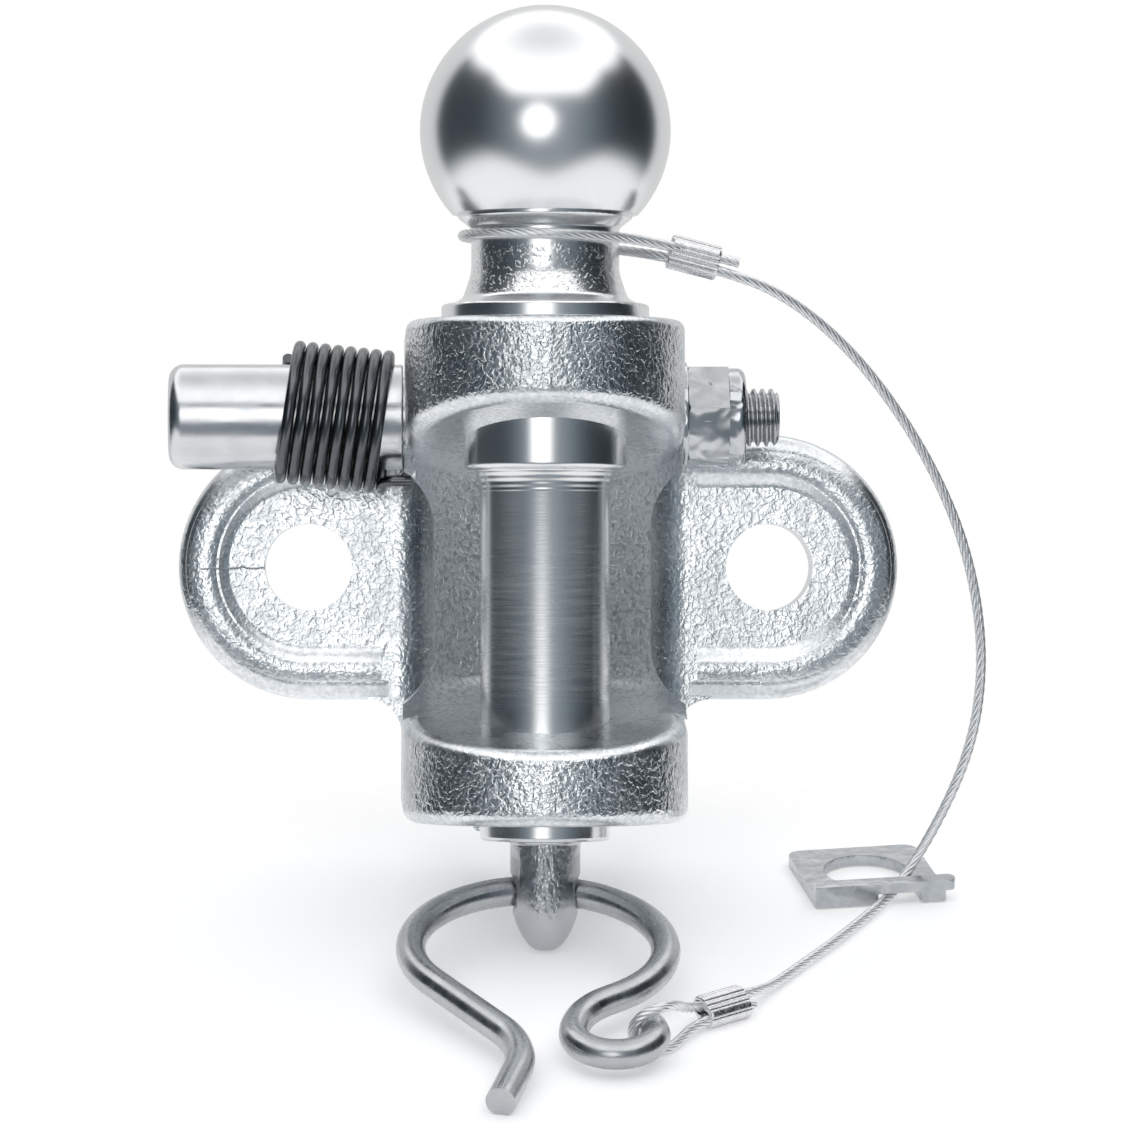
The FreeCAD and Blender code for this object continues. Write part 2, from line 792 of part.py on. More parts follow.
# Washer between the casting and the nut
def make_washer():
    disc = cylinder("washer_disc", cell("washer_dia") / 2, cell("washer_depth"),
                    washer_face, spindle_y, spindle_z, ALONG_X)
    hole = cylinder("washer_hole", thread_clear, 4 * cell("washer_depth"),
                    washer_face - cell("washer_depth"), spindle_y, spindle_z, ALONG_X)
    return cut("washer_ring", disc, hole)


keep(make_washer(), "spindle_washer")


# Lock nut: a hexagon with a round collar that is closed over a nylon insert
def make_nut():
    blank = doc.addObject("Part::Prism", "nut_blank")
    blank.Polygon = 6
    bind(blank, "Circumradius", cell("nut_flats") / (2 * cosine(Size(30.0))))
    bind(blank, "Height", cell("nut_depth"))
    turn = Rotation(Vector(1, 0, 0), number("nut_turn"))
    place(blank, nut_face, spindle_y, spindle_z, turn * ALONG_X)

    # Both ends of the hexagon are turned down to a cone at its corners
    corner = cell("nut_flats") / (2 * cosine(Size(30.0)))
    trim = doc.addObject("Part::Cone", "nut_trim")
    bind(trim, "Radius1", corner - 0.6)
    bind(trim, "Radius2", corner - 0.6 + 2 * cell("nut_depth"))
    bind(trim, "Height", cell("nut_depth"))
    place(trim, nut_face, spindle_y, spindle_z, ALONG_X)
    hexagon = overlap("nut_hexagon", blank, trim)

    collar = cylinder("nut_collar_disc", cell("nut_collar") / 2, cell("nut_height") - cell("nut_depth"),
                      nut_face + cell("nut_depth"), spindle_y, spindle_z, ALONG_X)
    outer = (nut_face + cell("nut_height")).number
    collar = round_edges("nut_collar_round", collar, 1.6,
                         lambda edge: edge.BoundBox.XMin > outer - 0.01)
    solid = fuse("nut_solid", hexagon, collar)
    bore = cylinder("nut_bore", thread_clear, 4 * cell("nut_height"),
                    nut_face - cell("nut_height"), spindle_y, spindle_z, ALONG_X)
    seat = cylinder("insert_seat", cell("insert_dia") / 2, cell("insert_depth"),
                    nut_face + cell("nut_height") - 0.5 - cell("insert_depth"),
                    spindle_y, spindle_z, ALONG_X)
    mouth = cylinder("insert_mouth", cell("insert_dia") / 2 - 0.8, cell("nut_height"),
                     nut_face + cell("nut_height") - 1.0, spindle_y, spindle_z, ALONG_X)
    return cut("nut_carved", solid, bore, seat, mouth)


keep(make_nut(), "lock_nut")


# Nylon insert, held inside the nut's collar
def make_insert():
    start = nut_face + cell("nut_height") - 0.5 - cell("insert_depth")
    ring = cylinder("insert_disc", cell("insert_dia") / 2, cell("insert_depth"),
                    start, spindle_y, spindle_z, ALONG_X)
    hole = cylinder("insert_hole", cell("insert_bore") / 2, 4 * cell("insert_depth"),
                    start - cell("insert_depth"), spindle_y, spindle_z, ALONG_X)
    return cut("insert_ring", ring, hole)


keep(make_insert(), "nut_insert")


def add_feature(name, shape):
    feature = doc.addObject("Part::Feature", name)
    feature.Shape = shape
    return feature


def tube_along(path, diameter):
    """Sweep a round wire or rope along a path of tangent lines and arcs."""
    start = path.Edges[0]
    first = start.firstVertex(True).Point
    way = start.tangentAt(start.FirstParameter)
    if start.Orientation == "Reversed":
        way = -start.tangentAt(start.LastParameter)
    ring = Part.Wire(Part.makeCircle(diameter / 2, first, way))
    tube = path.makePipeShell([ring], True, True)
    return tube


# Torsion spring: close left-hand turns round the grip, with one leg set into the casting
def make_spring():
    wire = number("spring_wire")
    radius = number("spring_dia") / 2
    pitch = number("spring_pitch")
    turns = number("spring_turns")
    seat, end, heading = spring_frame()

    def on_coil(share):
        turned = -2 * math.pi * turns * share
        return seat.multVec(Vector(radius * math.cos(turned), radius * math.sin(turned),
                                   pitch * turns * share))

    arcs = 2 * round(2 * turns)
    edges = [Part.Arc(on_coil(step / arcs), on_coil((step + 0.5) / arcs),
                      on_coil((step + 1) / arcs)).toShape() for step in range(arcs)]
    bend, leg_start = elbow(end, heading, (1, 0, 0), number("spring_leg_bend"))
    leg_end = Vector(-number("spring_leg_end"), leg_start.y, leg_start.z)
    edges.append(bend)
    edges.append(Part.LineSegment(leg_start, leg_end).toShape())
    return add_feature("spring_coil", tube_along(Part.Wire(edges), wire))


keep(make_spring(), "torsion_spring")


def straight_and_arc_path(start, heading, steps):
    """A bender's list in one plane: ("run", length) or ("bend", radius, turn to the left)."""
    edges = []
    spot = Vector(start)
    way = Vector(heading).normalize()
    for step in steps:
        if step[0] == "run":
            end = spot + way * step[1]
            edges.append(Part.LineSegment(spot, end).toShape())
            spot = end
            continue
        radius, turn = step[1], math.radians(step[2])
        side = Vector(-way.y, way.x, 0) * math.copysign(1.0, turn)
        centre = spot + side * radius
        arm = spot - centre
        half = Rotation(Vector(0, 0, 1), math.degrees(turn) / 2)
        full = Rotation(Vector(0, 0, 1), math.degrees(turn))
        middle, end = centre + half.multVec(arm), centre + full.multVec(arm)
        edges.append(Part.Arc(spot, middle, end).toShape())
        spot = end
        way = full.multVec(way)
    return edges


# Wire clip: a sprung ring through the pin's tail, with a plain leg and an eye for the lanyard
def make_clip():
    sag = number("clip_wire") * 0.147
    rear = Vector(-number("clip_offset"), 0, 0)
    to_eye = straight_and_arc_path(rear, (1, 0, 0), [
        ("bend", number("clip_radius"), number("eye_turn")),
        ("run", number("eye_run")),
        ("bend", number("eye_lead_bend"), -number("eye_lead_turn")),
        ("bend", number("eye_bend"), -number("eye_bend_turn")),
    ])
    to_leg = straight_and_arc_path(rear, (-1, 0, 0), [
        ("bend", number("clip_radius"), -number("leg_turn")),
        ("run", number("leg_run")),
        ("bend", number("leg_bend"), number("leg_bend_turn")),
        ("run", number("leg_end")),
    ])
    pieces = []
    for edges in (to_eye, to_leg):
        pieces.append(tube_along(Part.Wire(edges), number("clip_wire")))
    wire = pieces[0].fuse(pieces[1]).removeSplitter()
    clip = add_feature("clip_wire_form", wire.Solids[0])

    # In its own plane the ring opens along +y; in the coupling it points forward and down
    forward = Rotation(Vector(0, 0, 1), 180.0)
    flip = Rotation(Vector(0, 1, 0), 180.0)
    tilt = Rotation(Vector(1, 0, 0), number("clip_tilt"))
    clip.Placement = Placement(Vector(0, pin_y.number, clip_z.number), tilt * flip * forward
                               ) * Placement(Vector(0, -sag, 0), Rotation())
    return clip


keep(make_clip(), "retaining_clip")


def rope_route(points):
    """Straight runs joined by tangent arcs, each as large as its two runs or its limit allow."""
    spots = [Vector(*point[:3]) for point in points]
    edges = []
    radii = []
    here = spots[0]
    for index, (before, corner, after) in enumerate(zip(spots, spots[1:], spots[2:]), start=1):
        back = before - corner
        ahead = after - corner
        turn = math.pi - back.getAngle(ahead)
        reach = 0.45 * min(back.Length, ahead.Length)
        if len(points[index]) == 4:
            reach = min(reach, points[index][3])
        radii.append(reach / math.tan(turn / 2))
        back.normalize()
        ahead.normalize()
        arc_start = corner + back * reach
        arc_end = corner + ahead * reach
        inward = (back + ahead).normalize()
        rise = radii[-1] / math.cos(turn / 2) - radii[-1]
        edges.append(Part.LineSegment(here, arc_start).toShape())
        edges.append(Part.Arc(arc_start, corner + inward * rise, arc_end).toShape())
        here = arc_end
    edges.append(Part.LineSegment(here, spots[-1]).toShape())
    return Part.Wire(edges), radii


def make_rope(name, points):
    """A plain rope along its route, with its bends and volume printed."""
    path, radii = rope_route(points)
    rope = tube_along(path, number("rope_dia"))
    section = math.pi * number("rope_dia") ** 2 / 4
    print(f"{name}: length {path.Length:.1f} mm, least bend {min(radii):.1f} mm,",
          f"volume {rope.Volume:.1f} of {section * path.Length:.1f} mm3")
    return add_feature(name, rope)


def clip_spot(x, v, rise):
    """A place given in the clip's own plane: to the right, outward and above its wire's middle."""
    tilt = math.radians(number("clip_tilt"))
    out = v - number("clip_wire") * 0.147
    return Vector(x, pin_y.number - out * math.cos(tilt) - rise * math.sin(tilt),
                  clip_z.number - out * math.sin(tilt) + rise * math.cos(tilt))


def ferrule_seat(centre, heading, flat):
    """Where a ferrule sits: z runs along it, and x runs across its two strands."""
    along = Vector(*heading).normalize()
    face = Vector(*flat)
    face = (face - along * face.dot(along)).normalize()
    return Placement(Vector(*centre), Rotation(face.cross(along), face, along, "ZYX"))


def strand(seat, side, along):
    """A point on one of the two strands in a ferrule."""
    spot = seat.multVec(Vector(side * number("strand_spacing") / 2, 0, along))
    return (spot.x, spot.y, spot.z)


NECK_SEAT = ferrule_seat((29.6, -49.4, 61.5), (0.965, 0.06, -0.25), (0, -1, 0))
CLIP_SEAT = ferrule_seat((33.1, -84.1, -85.3), (0.81, 0.56, 0.184), (0.362, -0.719, 0.595))
PLATE_SEAT = Placement(Vector(67.2, -13.4, -64.73), Rotation(Vector(1, 0, 0), number("table_slope"))
                       * Rotation(Vector(0, 0, 1), number("plate_turn")))


def plate_spot(x, y, z):
    """A place in the anchor plate's own frame: right, back and up from its underside's middle."""
    spot = PLATE_SEAT.multVec(Vector(x, y, z))
    return (spot.x, spot.y, spot.z)


# Ferrules: fluted oval sleeves pressed over two strands of the rope
def make_ferrule(name, seat):
    width = number("ferrule_width")
    depth = number("ferrule_depth")
    length = number("ferrule_length")
    side = width / 2 - depth / 2
    edges = [Part.LineSegment(Vector(-side, -depth / 2, 0), Vector(side, -depth / 2, 0)).toShape(),
             Part.Arc(Vector(side, -depth / 2, 0), Vector(width / 2, 0, 0),
                      Vector(side, depth / 2, 0)).toShape(),
             Part.LineSegment(Vector(side, depth / 2, 0), Vector(-side, depth / 2, 0)).toShape(),
             Part.Arc(Vector(-side, depth / 2, 0), Vector(-width / 2, 0, 0),
                      Vector(-side, -depth / 2, 0)).toShape()]
    sleeve = Part.Face(Part.Wire(edges)).extrude(Vector(0, 0, length))
    ends = [edge for edge in sleeve.Edges
            if abs(edge.BoundBox.ZMax - edge.BoundBox.ZMin) < 0.001]
    sleeve = sleeve.makeFillet(number("ferrule_edge"), ends)
    flute = number("flute_radius")
    tools = []
    for way in (-1, 1):
        for x in (-side, 0.0, side):
            spot = Vector(x, way * (depth / 2 + 0.2), -length / 2)
            tools.append(Part.makeCylinder(flute, 2 * length, spot))
        for angle in (-45, 0, 45):
            out = Vector(way * (depth / 2 + 0.2), 0, -length / 2)
            spot = Rotation(Vector(0, 0, 1), angle).multVec(out) + Vector(way * side, 0, 0)
            tools.append(Part.makeCylinder(flute, 2 * length, spot))
        bore = number("rope_dia") / 2 + number("strand_gap")
        mouth = number("ferrule_mouth")
        across = way * number("strand_spacing") / 2
        tools.append(Part.makeCylinder(bore, 2 * length, Vector(across, 0, -length / 2)))
        tools.append(Part.makeCone(mouth, bore, mouth * 2, Vector(across, 0, 0)))
        tools.append(Part.makeCone(bore, mouth, mouth * 2, Vector(across, 0, length - mouth * 2)))
    sleeve = sleeve.cut(Part.Compound(tools))
    ferrule = add_feature(name, sleeve.Solids[0])
    ferrule.Placement = seat * Placement(Vector(0, 0, -length / 2), Rotation())
    return ferrule


keep(make_ferrule("neck_ferrule_sleeve", NECK_SEAT), "neck_ferrule")
keep(make_ferrule("clip_ferrule_sleeve", CLIP_SEAT), "clip_ferrule")

# Lanyard: the run of wire rope from the ferrule at the ball's neck to the ferrule at the clip.
# It hangs in a bow beside the casting, goes down through the anchor plate's hole and out under
# the plate's folded edge, and lies flat from there to the clip.
CABLE_ROUTE = [
    strand(NECK_SEAT, -1, 0.03), strand(NECK_SEAT, -1, 8.0),
    (45.6, -45.8, 55.4), (54.9, -42.0, 49.6), (64.0, -38.4, 41.2), (72.6, -35.0, 30.4),
    (80.0, -32.0, 18.4), (85.8, -29.4, 5.2), (89.2, -26.4, -8.8), (90.2, -23.6, -22.4),
    (88.4, -20.4, -36.4), (83.1, -17.0, -50.2),
    plate_spot(6.3, -5.3, 1.15), plate_spot(-1.2, -16.5, 1.1),
    (59.2, -45.9, -74.35), (49.8, -60.4, -79.15),
    (43.2, -71.2, -82.5), strand(CLIP_SEAT, 1, 8.0), strand(CLIP_SEAT, 1, 0.03),
]
print("cable route", [tuple(round(value, 3) for value in point) for point in CABLE_ROUTE])
keep(make_rope("cable_run", CABLE_ROUTE), "lanyard_cable")


# The rope's loop round the neck of the ball, with its cut end past the ferrule
def neck_loop_route():
    radius = number("neck_dia") / 2 + number("rope_dia") / 2 + 2 * number("rope_gap")
    corner = radius / math.cos(math.radians(22.5))
    route = [strand(NECK_SEAT, -1, -0.03), strand(NECK_SEAT, -1, -7.4)]
    for angle, level in ((65.5, 64.8), (110.5, 65.5), (155.5, 65.7), (200.5, 65.7),
                         (245.5, 65.4), (290.5, 65.1)):
        turn = math.radians(angle)
        route.append((corner * math.cos(turn), pin_y.number + corner * math.sin(turn), level))
    return route + [strand(NECK_SEAT, 1, -7.4) + (3.3,),
                    strand(NECK_SEAT, 1, number("neck_strand_end"))]


keep(make_rope("neck_loop_rope", neck_loop_route()), "neck_loop")


# The rope's loop round the clip's eye, with its cut end past the ferrule
def clip_loop_route():
    eye_x = number("eye_centre")
    eye_v = number("eye_reach")
    wrap = (number("clip_wire") + number("rope_dia")) / 2 + number("rope_gap")
    corner = wrap / math.cos(math.radians(22.5))
    angle = -math.radians(number("loop_angle"))

    def round_wire(out, rise):
        """A place beside the eye's wire: outward from its middle line, and above it."""
        reach = number("eye_bend") + out
        spot = clip_spot(eye_x + reach * math.cos(angle), eye_v + reach * math.sin(angle), rise)
        return (spot.x, spot.y, spot.z)

    route = [strand(CLIP_SEAT, 1, -0.03), strand(CLIP_SEAT, 1, -6.8), round_wire(3.4, 5.6)]
    for step in (112.5, 157.5, 202.5, 247.5):
        turn = math.radians(step)
        route.append(round_wire(corner * math.cos(turn), corner * math.sin(turn)))
    return route + [round_wire(3.4, -4.35), strand(CLIP_SEAT, -1, -7.0) + (2.9,),
                    strand(CLIP_SEAT, -1, number("clip_strand_end"))]


keep(make_rope("clip_loop_rope", clip_loop_route()), "clip_loop")


# Anchor plate: square, with a round hole and a front edge folded over the rope
def make_plate():
    half_width = cell("plate_width") / 2
    half_length = cell("plate_length") / 2
    corner = cell("plate_corner")
    plan = new_sketch("plate_plan", XY)
    outline(plan, [(-half_width, -half_length, 0.8), (half_width, -half_length, 0.8),
                   (half_width, half_length, corner), (-half_width, half_length, corner)])
    slab = extrude("plate_slab", plan, cell("plate_depth"))
    hole = cylinder("plate_hole_tool", cell("plate_hole") / 2, 6 * cell("plate_depth"),
                    0.0, cell("plate_hole_shift"), -2 * cell("plate_depth"))
    notch = box("rope_notch_tool", (cell("rope_notch"), half_length, 6 * cell("plate_depth")),
                cell("rope_notch_shift") - cell("rope_notch") / 2, -half_length - 2.0,
                -2 * cell("plate_depth"))
    base = cut("plate_base", slab, hole, notch)
    hem_length = cell("plate_width") + cell("hem_overhang")
    hem_plan = new_sketch("hem_plan", XY, cell("plate_depth"))
    outline(hem_plan, [(-half_width, -half_length, 0.6),
                       (hem_length - half_width, -half_length, 1.6),
                       (hem_length - half_width, -half_length + cell("hem_width"), 1.6),
                       (-half_width, -half_length + cell("hem_width"), 0.6)])
    hem = extrude("plate_hem", hem_plan, cell("hem_depth"))
    whole = fuse("anchor_plate_form", base, hem)
    whole.Placement = PLATE_SEAT
    return whole


keep(make_plate(), "anchor_plate")

doc.recompute()

for thing in doc.Objects:
    if "Invalid" in thing.State or "Error" in thing.State:
        raise RuntimeError(f"{thing.Name} failed: {thing.State}")
for thing in nodes:
    shape = thing.Shape
    if shape.isNull() or not shape.isValid() or not shape.Solids:
        raise RuntimeError(f"{thing.Label} has no valid solid")

os.makedirs("parts", exist_ok=True)
for thing in nodes:
    thing.Shape.exportStep(f"parts/{thing.Label}.step")
    box_now = thing.Shape.BoundBox
    print(f"{thing.Label}: {len(thing.Shape.Solids)} solid, {thing.Shape.Volume:.0f} mm3,",
          f"x {box_now.XMin:.1f}..{box_now.XMax:.1f}",
          f"y {box_now.YMin:.1f}..{box_now.YMax:.1f} z {box_now.ZMin:.1f}..{box_now.ZMax:.1f}")
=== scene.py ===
import math

import bmesh
import bpy
from mathutils import Matrix, Vector


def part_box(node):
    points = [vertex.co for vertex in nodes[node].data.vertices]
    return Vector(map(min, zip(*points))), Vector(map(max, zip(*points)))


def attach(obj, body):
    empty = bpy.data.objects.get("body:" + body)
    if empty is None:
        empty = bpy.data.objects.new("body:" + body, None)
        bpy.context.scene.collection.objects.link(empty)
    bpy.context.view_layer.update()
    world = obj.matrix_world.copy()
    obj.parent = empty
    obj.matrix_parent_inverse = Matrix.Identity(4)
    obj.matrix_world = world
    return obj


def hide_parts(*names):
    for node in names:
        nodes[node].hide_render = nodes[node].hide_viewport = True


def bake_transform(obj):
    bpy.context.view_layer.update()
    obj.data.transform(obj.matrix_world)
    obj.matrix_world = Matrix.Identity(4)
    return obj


# Ball and pin coupling: a zinc plated casting with two jaws, a ball pin through them, a sprung
# cross spindle that locks the pin, and a wire clip on a rope lanyard.
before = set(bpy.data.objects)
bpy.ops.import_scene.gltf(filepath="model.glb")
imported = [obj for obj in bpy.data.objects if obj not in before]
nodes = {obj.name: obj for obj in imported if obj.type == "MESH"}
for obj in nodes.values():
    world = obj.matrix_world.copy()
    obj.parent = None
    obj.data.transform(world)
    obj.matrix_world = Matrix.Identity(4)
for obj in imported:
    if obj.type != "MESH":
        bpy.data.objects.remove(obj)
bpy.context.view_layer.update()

# The camera stands about a metre in front of the ball pin, level with the fixing holes, with a
# long lens. It looks a touch to the right of the pin, as the photograph's framing does.
CAMERA_STAND = Vector((-0.0360, -1.1384, -0.0068))
CAMERA_LENS = 172.95
CAMERA_TURN = math.radians(2.146)
CAMERA_TILT = math.radians(0.319)


def add_object(name, data):
    """An object with this data, linked into the scene."""
    made = bpy.data.objects.new(name, data)
    bpy.context.scene.collection.objects.link(made)
    return made


camera = add_object("camera", bpy.data.cameras.new("camera"))
camera.data.sensor_width = 36.0
camera.data.lens = CAMERA_LENS
camera.data.clip_start = 0.05
camera.data.clip_end = 30.0
camera.location = CAMERA_STAND
camera.rotation_euler = (math.radians(90) + CAMERA_TILT, 0, -CAMERA_TURN)
bpy.context.scene.camera = camera


# Lanyard rope: galvanised wire rope of six strands laid round a core, 2.1 mm across. It runs
# from the ferrule at the pin's neck down in a wide loop, through the anchor plate's folded strip,
# to the ferrule at the clip. It is one length in life, and here a cable and two end loops.
ROPE_DIAMETER = 0.0021
ROPE_LAY = 0.0125
ROPE_STEP = 0.0006
STRAND_RADIUS = 0.00042

CABLE_ROUTE = [
    (0.02932, -0.04940, 0.06028), (0.03702, -0.04892, 0.05829), (0.04560, -0.04580, 0.05540),
    (0.05490, -0.04200, 0.04960), (0.06400, -0.03840, 0.04120), (0.07260, -0.03500, 0.03040),
    (0.08000, -0.03200, 0.01840), (0.08580, -0.02940, 0.00520), (0.08920, -0.02640, -0.00880),
    (0.09020, -0.02360, -0.02240), (0.08840, -0.02040, -0.03640), (0.08310, -0.01700, -0.05020),
    (0.07425, -0.01780, -0.06497), (0.06860, -0.02940, -0.06886), (0.05920, -0.04590, -0.07435),
    (0.04980, -0.06040, -0.07915), (0.04320, -0.07120, -0.08250), (0.03899, -0.07911, -0.08285),
    (0.03254, -0.08357, -0.08432),
]
NECK_LOOP_ROUTE = [
    (0.02926, -0.04940, 0.06030), (0.02214, -0.04984, 0.06214), (0.00736, -0.03285, 0.06480),
    (-0.00622, -0.03237, 0.06550), (-0.01615, -0.04164, 0.06570), (-0.01663, -0.05522, 0.06570),
    (-0.00736, -0.06515, 0.06540), (0.00622, -0.06563, 0.06510), (0.02276, -0.04984, 0.06456),
    (0.03861, -0.04886, 0.06046),
]
CLIP_LOOP_ROUTE = [
    (0.03250, -0.08360, -0.08433), (0.02702, -0.08738, -0.08557), (0.02228, -0.10373, -0.08324),
    (0.01720, -0.10400, -0.08484), (0.01475, -0.10339, -0.08729), (0.01475, -0.10195, -0.09050),
    (0.01720, -0.10055, -0.09260), (0.02228, -0.09969, -0.09233), (0.02802, -0.08853, -0.08756),
    (0.03934, -0.08070, -0.08499),
]


class NodeTree:
    """A node tree, with short ways to add nodes and join them."""

    def put(self, socket, value):
        if isinstance(value, bpy.types.NodeSocket):
            self.tree.links.new(value, socket)
        else:
            socket.default_value = value

    def node(self, kind, setting=None, **sockets):
        made = self.tree.nodes.new(kind)
        for name, value in (setting or {}).items():
            setattr(made, name, value)
        for name, value in sockets.items():
            self.put(made.inputs[name.replace("_", " ")], value)
        return made

    def math(self, operation, *values):
        made = self.node("ShaderNodeMath", {"operation": operation})
        for socket, value in zip(made.inputs, values):
            self.put(socket, value)
        return made.outputs[0]

    def vector(self, operation, *values):
        made = self.node("ShaderNodeVectorMath", {"operation": operation})
        sockets = [socket for socket in made.inputs if socket.enabled]
        for socket, value in zip(sockets, values):
            self.put(socket, value)
        return made.outputs[0]

    def times(self, first, *others):
        """The product of two or more values."""
        for value in others:
            first = self.math("MULTIPLY", first, value)
        return first

    def plus(self, first, *others):
        """The sum of two or more values."""
        for value in others:
            first = self.math("ADD", first, value)
        return first

    def minus(self, first, second):
        return self.math("SUBTRACT", first, second)

    def scaled(self, value, factor, start):
        """The value times a factor, plus a start."""
        return self.math("MULTIPLY_ADD", value, factor, start)

    def size(self, value):
        """The value without its sign."""
        return self.math("ABSOLUTE", value)

    def ramp(self, value, low, high, at_low=0.0, at_high=1.0):
        """A smooth step of value between low and high."""
        made = self.node("ShaderNodeMapRange", {"interpolation_type": "SMOOTHSTEP"})
        for socket, entry in zip(made.inputs, (value, low, high, at_low, at_high)):
            self.put(socket, entry)
        return made.outputs[0]

    def between(self, share, first, second):
        """A colour between two colours."""
        made = self.node("ShaderNodeMix", {"data_type": "RGBA"})
        for index, value in ((0, share), (6, first), (7, second)):
            self.put(made.inputs[index], value)
        return made.outputs[2]


class Finish(NodeTree):
    """A metal's or plastic's material, with the piece's own coordinates ready to use."""

    def __init__(self, name, colour, roughness, metallic=1.0):
        self.material = bpy.data.materials.new(name)
        self.material.use_nodes = True
        self.tree = self.material.node_tree
        self.shader = self.tree.nodes["Principled BSDF"]
        self.shader.inputs["Base Color"].default_value = (*colour, 1)
        self.shader.inputs["Roughness"].default_value = roughness
        self.shader.inputs["Metallic"].default_value = metallic
        self.place = self.node("ShaderNodeTexCoord").outputs["Object"]

    def grain(self, size, detail=2.0, distortion=0.0, stretch=(1, 1, 1)):
        """Cloudy noise from 0 to 1, whose lumps are about size metres across."""
        turned = self.node("ShaderNodeMapping", Vector=self.place, Scale=stretch)
        made = self.node(
            "ShaderNodeTexNoise", Vector=turned.outputs[0], Scale=1 / size,
            Detail=detail, Distortion=distortion,
        )
        return made.outputs["Fac"]

    def axes(self):
        return self.node("ShaderNodeSeparateXYZ", Vector=self.place).outputs

    def tint(self, share, dark, light):
        """Base colour between two colours."""
        self.put(self.shader.inputs["Base Color"],
                 self.between(share, (*dark, 1), (*light, 1)))

    def bump(self, height, distance):
        """Fine relief: height from 0 to 1 stands distance metres proud."""
        made = self.node("ShaderNodeBump", Height=height, Distance=distance, Strength=1.0)
        self.put(self.shader.inputs["Normal"], made.outputs[0])

    def rough(self, value):
        self.put(self.shader.inputs["Roughness"], value)

    def scuff(self, size, low, high, detail=2.0, stretch=(1, 1, 1)):
        """Roughness that wanders between two values, in patches about size metres across."""
        self.rough(self.ramp(self.grain(size, detail, 0.0, stretch), 0.3, 0.7, low, high))


def wear(piece, finish):
    """Gives a piece or a carried-over node its finish."""
    if not piece.material_slots:
        piece.data.materials.append(finish.material)
    for slot in piece.material_slots:
        slot.material = finish.material


class Recipe(NodeTree):
    """A geometry node tree with named inputs, worked once into a plain mesh."""

    KINDS = {int: "NodeSocketInt", float: "NodeSocketFloat"}

    def __init__(self, name, **sizes):
        self.tree = bpy.data.node_groups.new(name, "GeometryNodeTree")
        self.sizes = {label.replace("_", " "): value for label, value in sizes.items()}
        sockets = self.tree.interface
        sockets.new_socket("Geometry", in_out="INPUT", socket_type="NodeSocketGeometry")
        for label, value in self.sizes.items():
            sockets.new_socket(label, in_out="INPUT", socket_type=self.KINDS[type(value)])
        sockets.new_socket("Material", in_out="INPUT", socket_type="NodeSocketMaterial")
        sockets.new_socket("Geometry", in_out="OUTPUT", socket_type="NodeSocketGeometry")
        self.given = self.tree.nodes.new("NodeGroupInput").outputs

    def serve(self, geometry):
        """The end of every tree: smooth, real and with its material on."""
        smooth = self.node("GeometryNodeSetShadeSmooth", Geometry=geometry)
        real = self.node("GeometryNodeRealizeInstances", Geometry=smooth.outputs[0])
        dressed = self.node("GeometryNodeSetMaterial", Geometry=real.outputs[0],
                            Material=self.given["Material"])
        self.node("NodeGroupOutput", Geometry=dressed.outputs[0])

    def make(self, name, finish, line=()):
        """Works the tree on a line of points and returns the finished piece."""
        start = bpy.data.meshes.new(name)
        start.from_pydata(line, [(i, i + 1) for i in range(len(line) - 1)], [])
        piece = add_object(name, start)
        work = piece.modifiers.new(name, "NODES")
        work.node_group = self.tree
        for entry in self.tree.interface.items_tree:
            if entry.in_out == "INPUT" and entry.name in self.sizes:
                work[entry.identifier] = self.sizes[entry.name]
            elif entry.name == "Material":
                work[entry.identifier] = finish.material
        ready = piece.evaluated_get(bpy.context.evaluated_depsgraph_get())
        mesh = bpy.data.meshes.new_from_object(ready)
        piece.modifiers.remove(work)
        piece.data = mesh
        return piece


def rope_line(route):
    """Points read from the smooth line that a rope's route controls."""
    line = bpy.data.curves.new("rope_line", "CURVE")
    line.dimensions = "3D"
    line.resolution_u = 16
    spline = line.splines.new("NURBS")
    spline.points.add(len(route) - 1)
    for point, place in zip(spline.points, route):
        point.co = (*place, 1)
    spline.order_u = 3
    spline.use_endpoint_u = True
    carrier = add_object("rope_line", line)
    evaluated = carrier.evaluated_get(bpy.context.evaluated_depsgraph_get())
    mesh = bpy.data.meshes.new_from_object(evaluated)
    points = [vertex.co.copy() for vertex in mesh.vertices]
    bpy.data.objects.remove(carrier)
    bpy.data.meshes.remove(mesh)
    return points


def even_steps(points, step):
    """The same line with its points about step apart."""
    spans = [(b - a).length for a, b in zip(points, points[1:])]
    total = sum(spans)
    count = max(2, round(total / step))
    result, span, gone = [], 0, 0.0
    for index in range(count + 1):
        target = total * index / count
        while span < len(spans) - 1 and gone + spans[span] < target:
            gone += spans[span]
            span += 1
        share = min(1.0, (target - gone) / spans[span])
        result.append(points[span].lerp(points[span + 1], share))
    return result


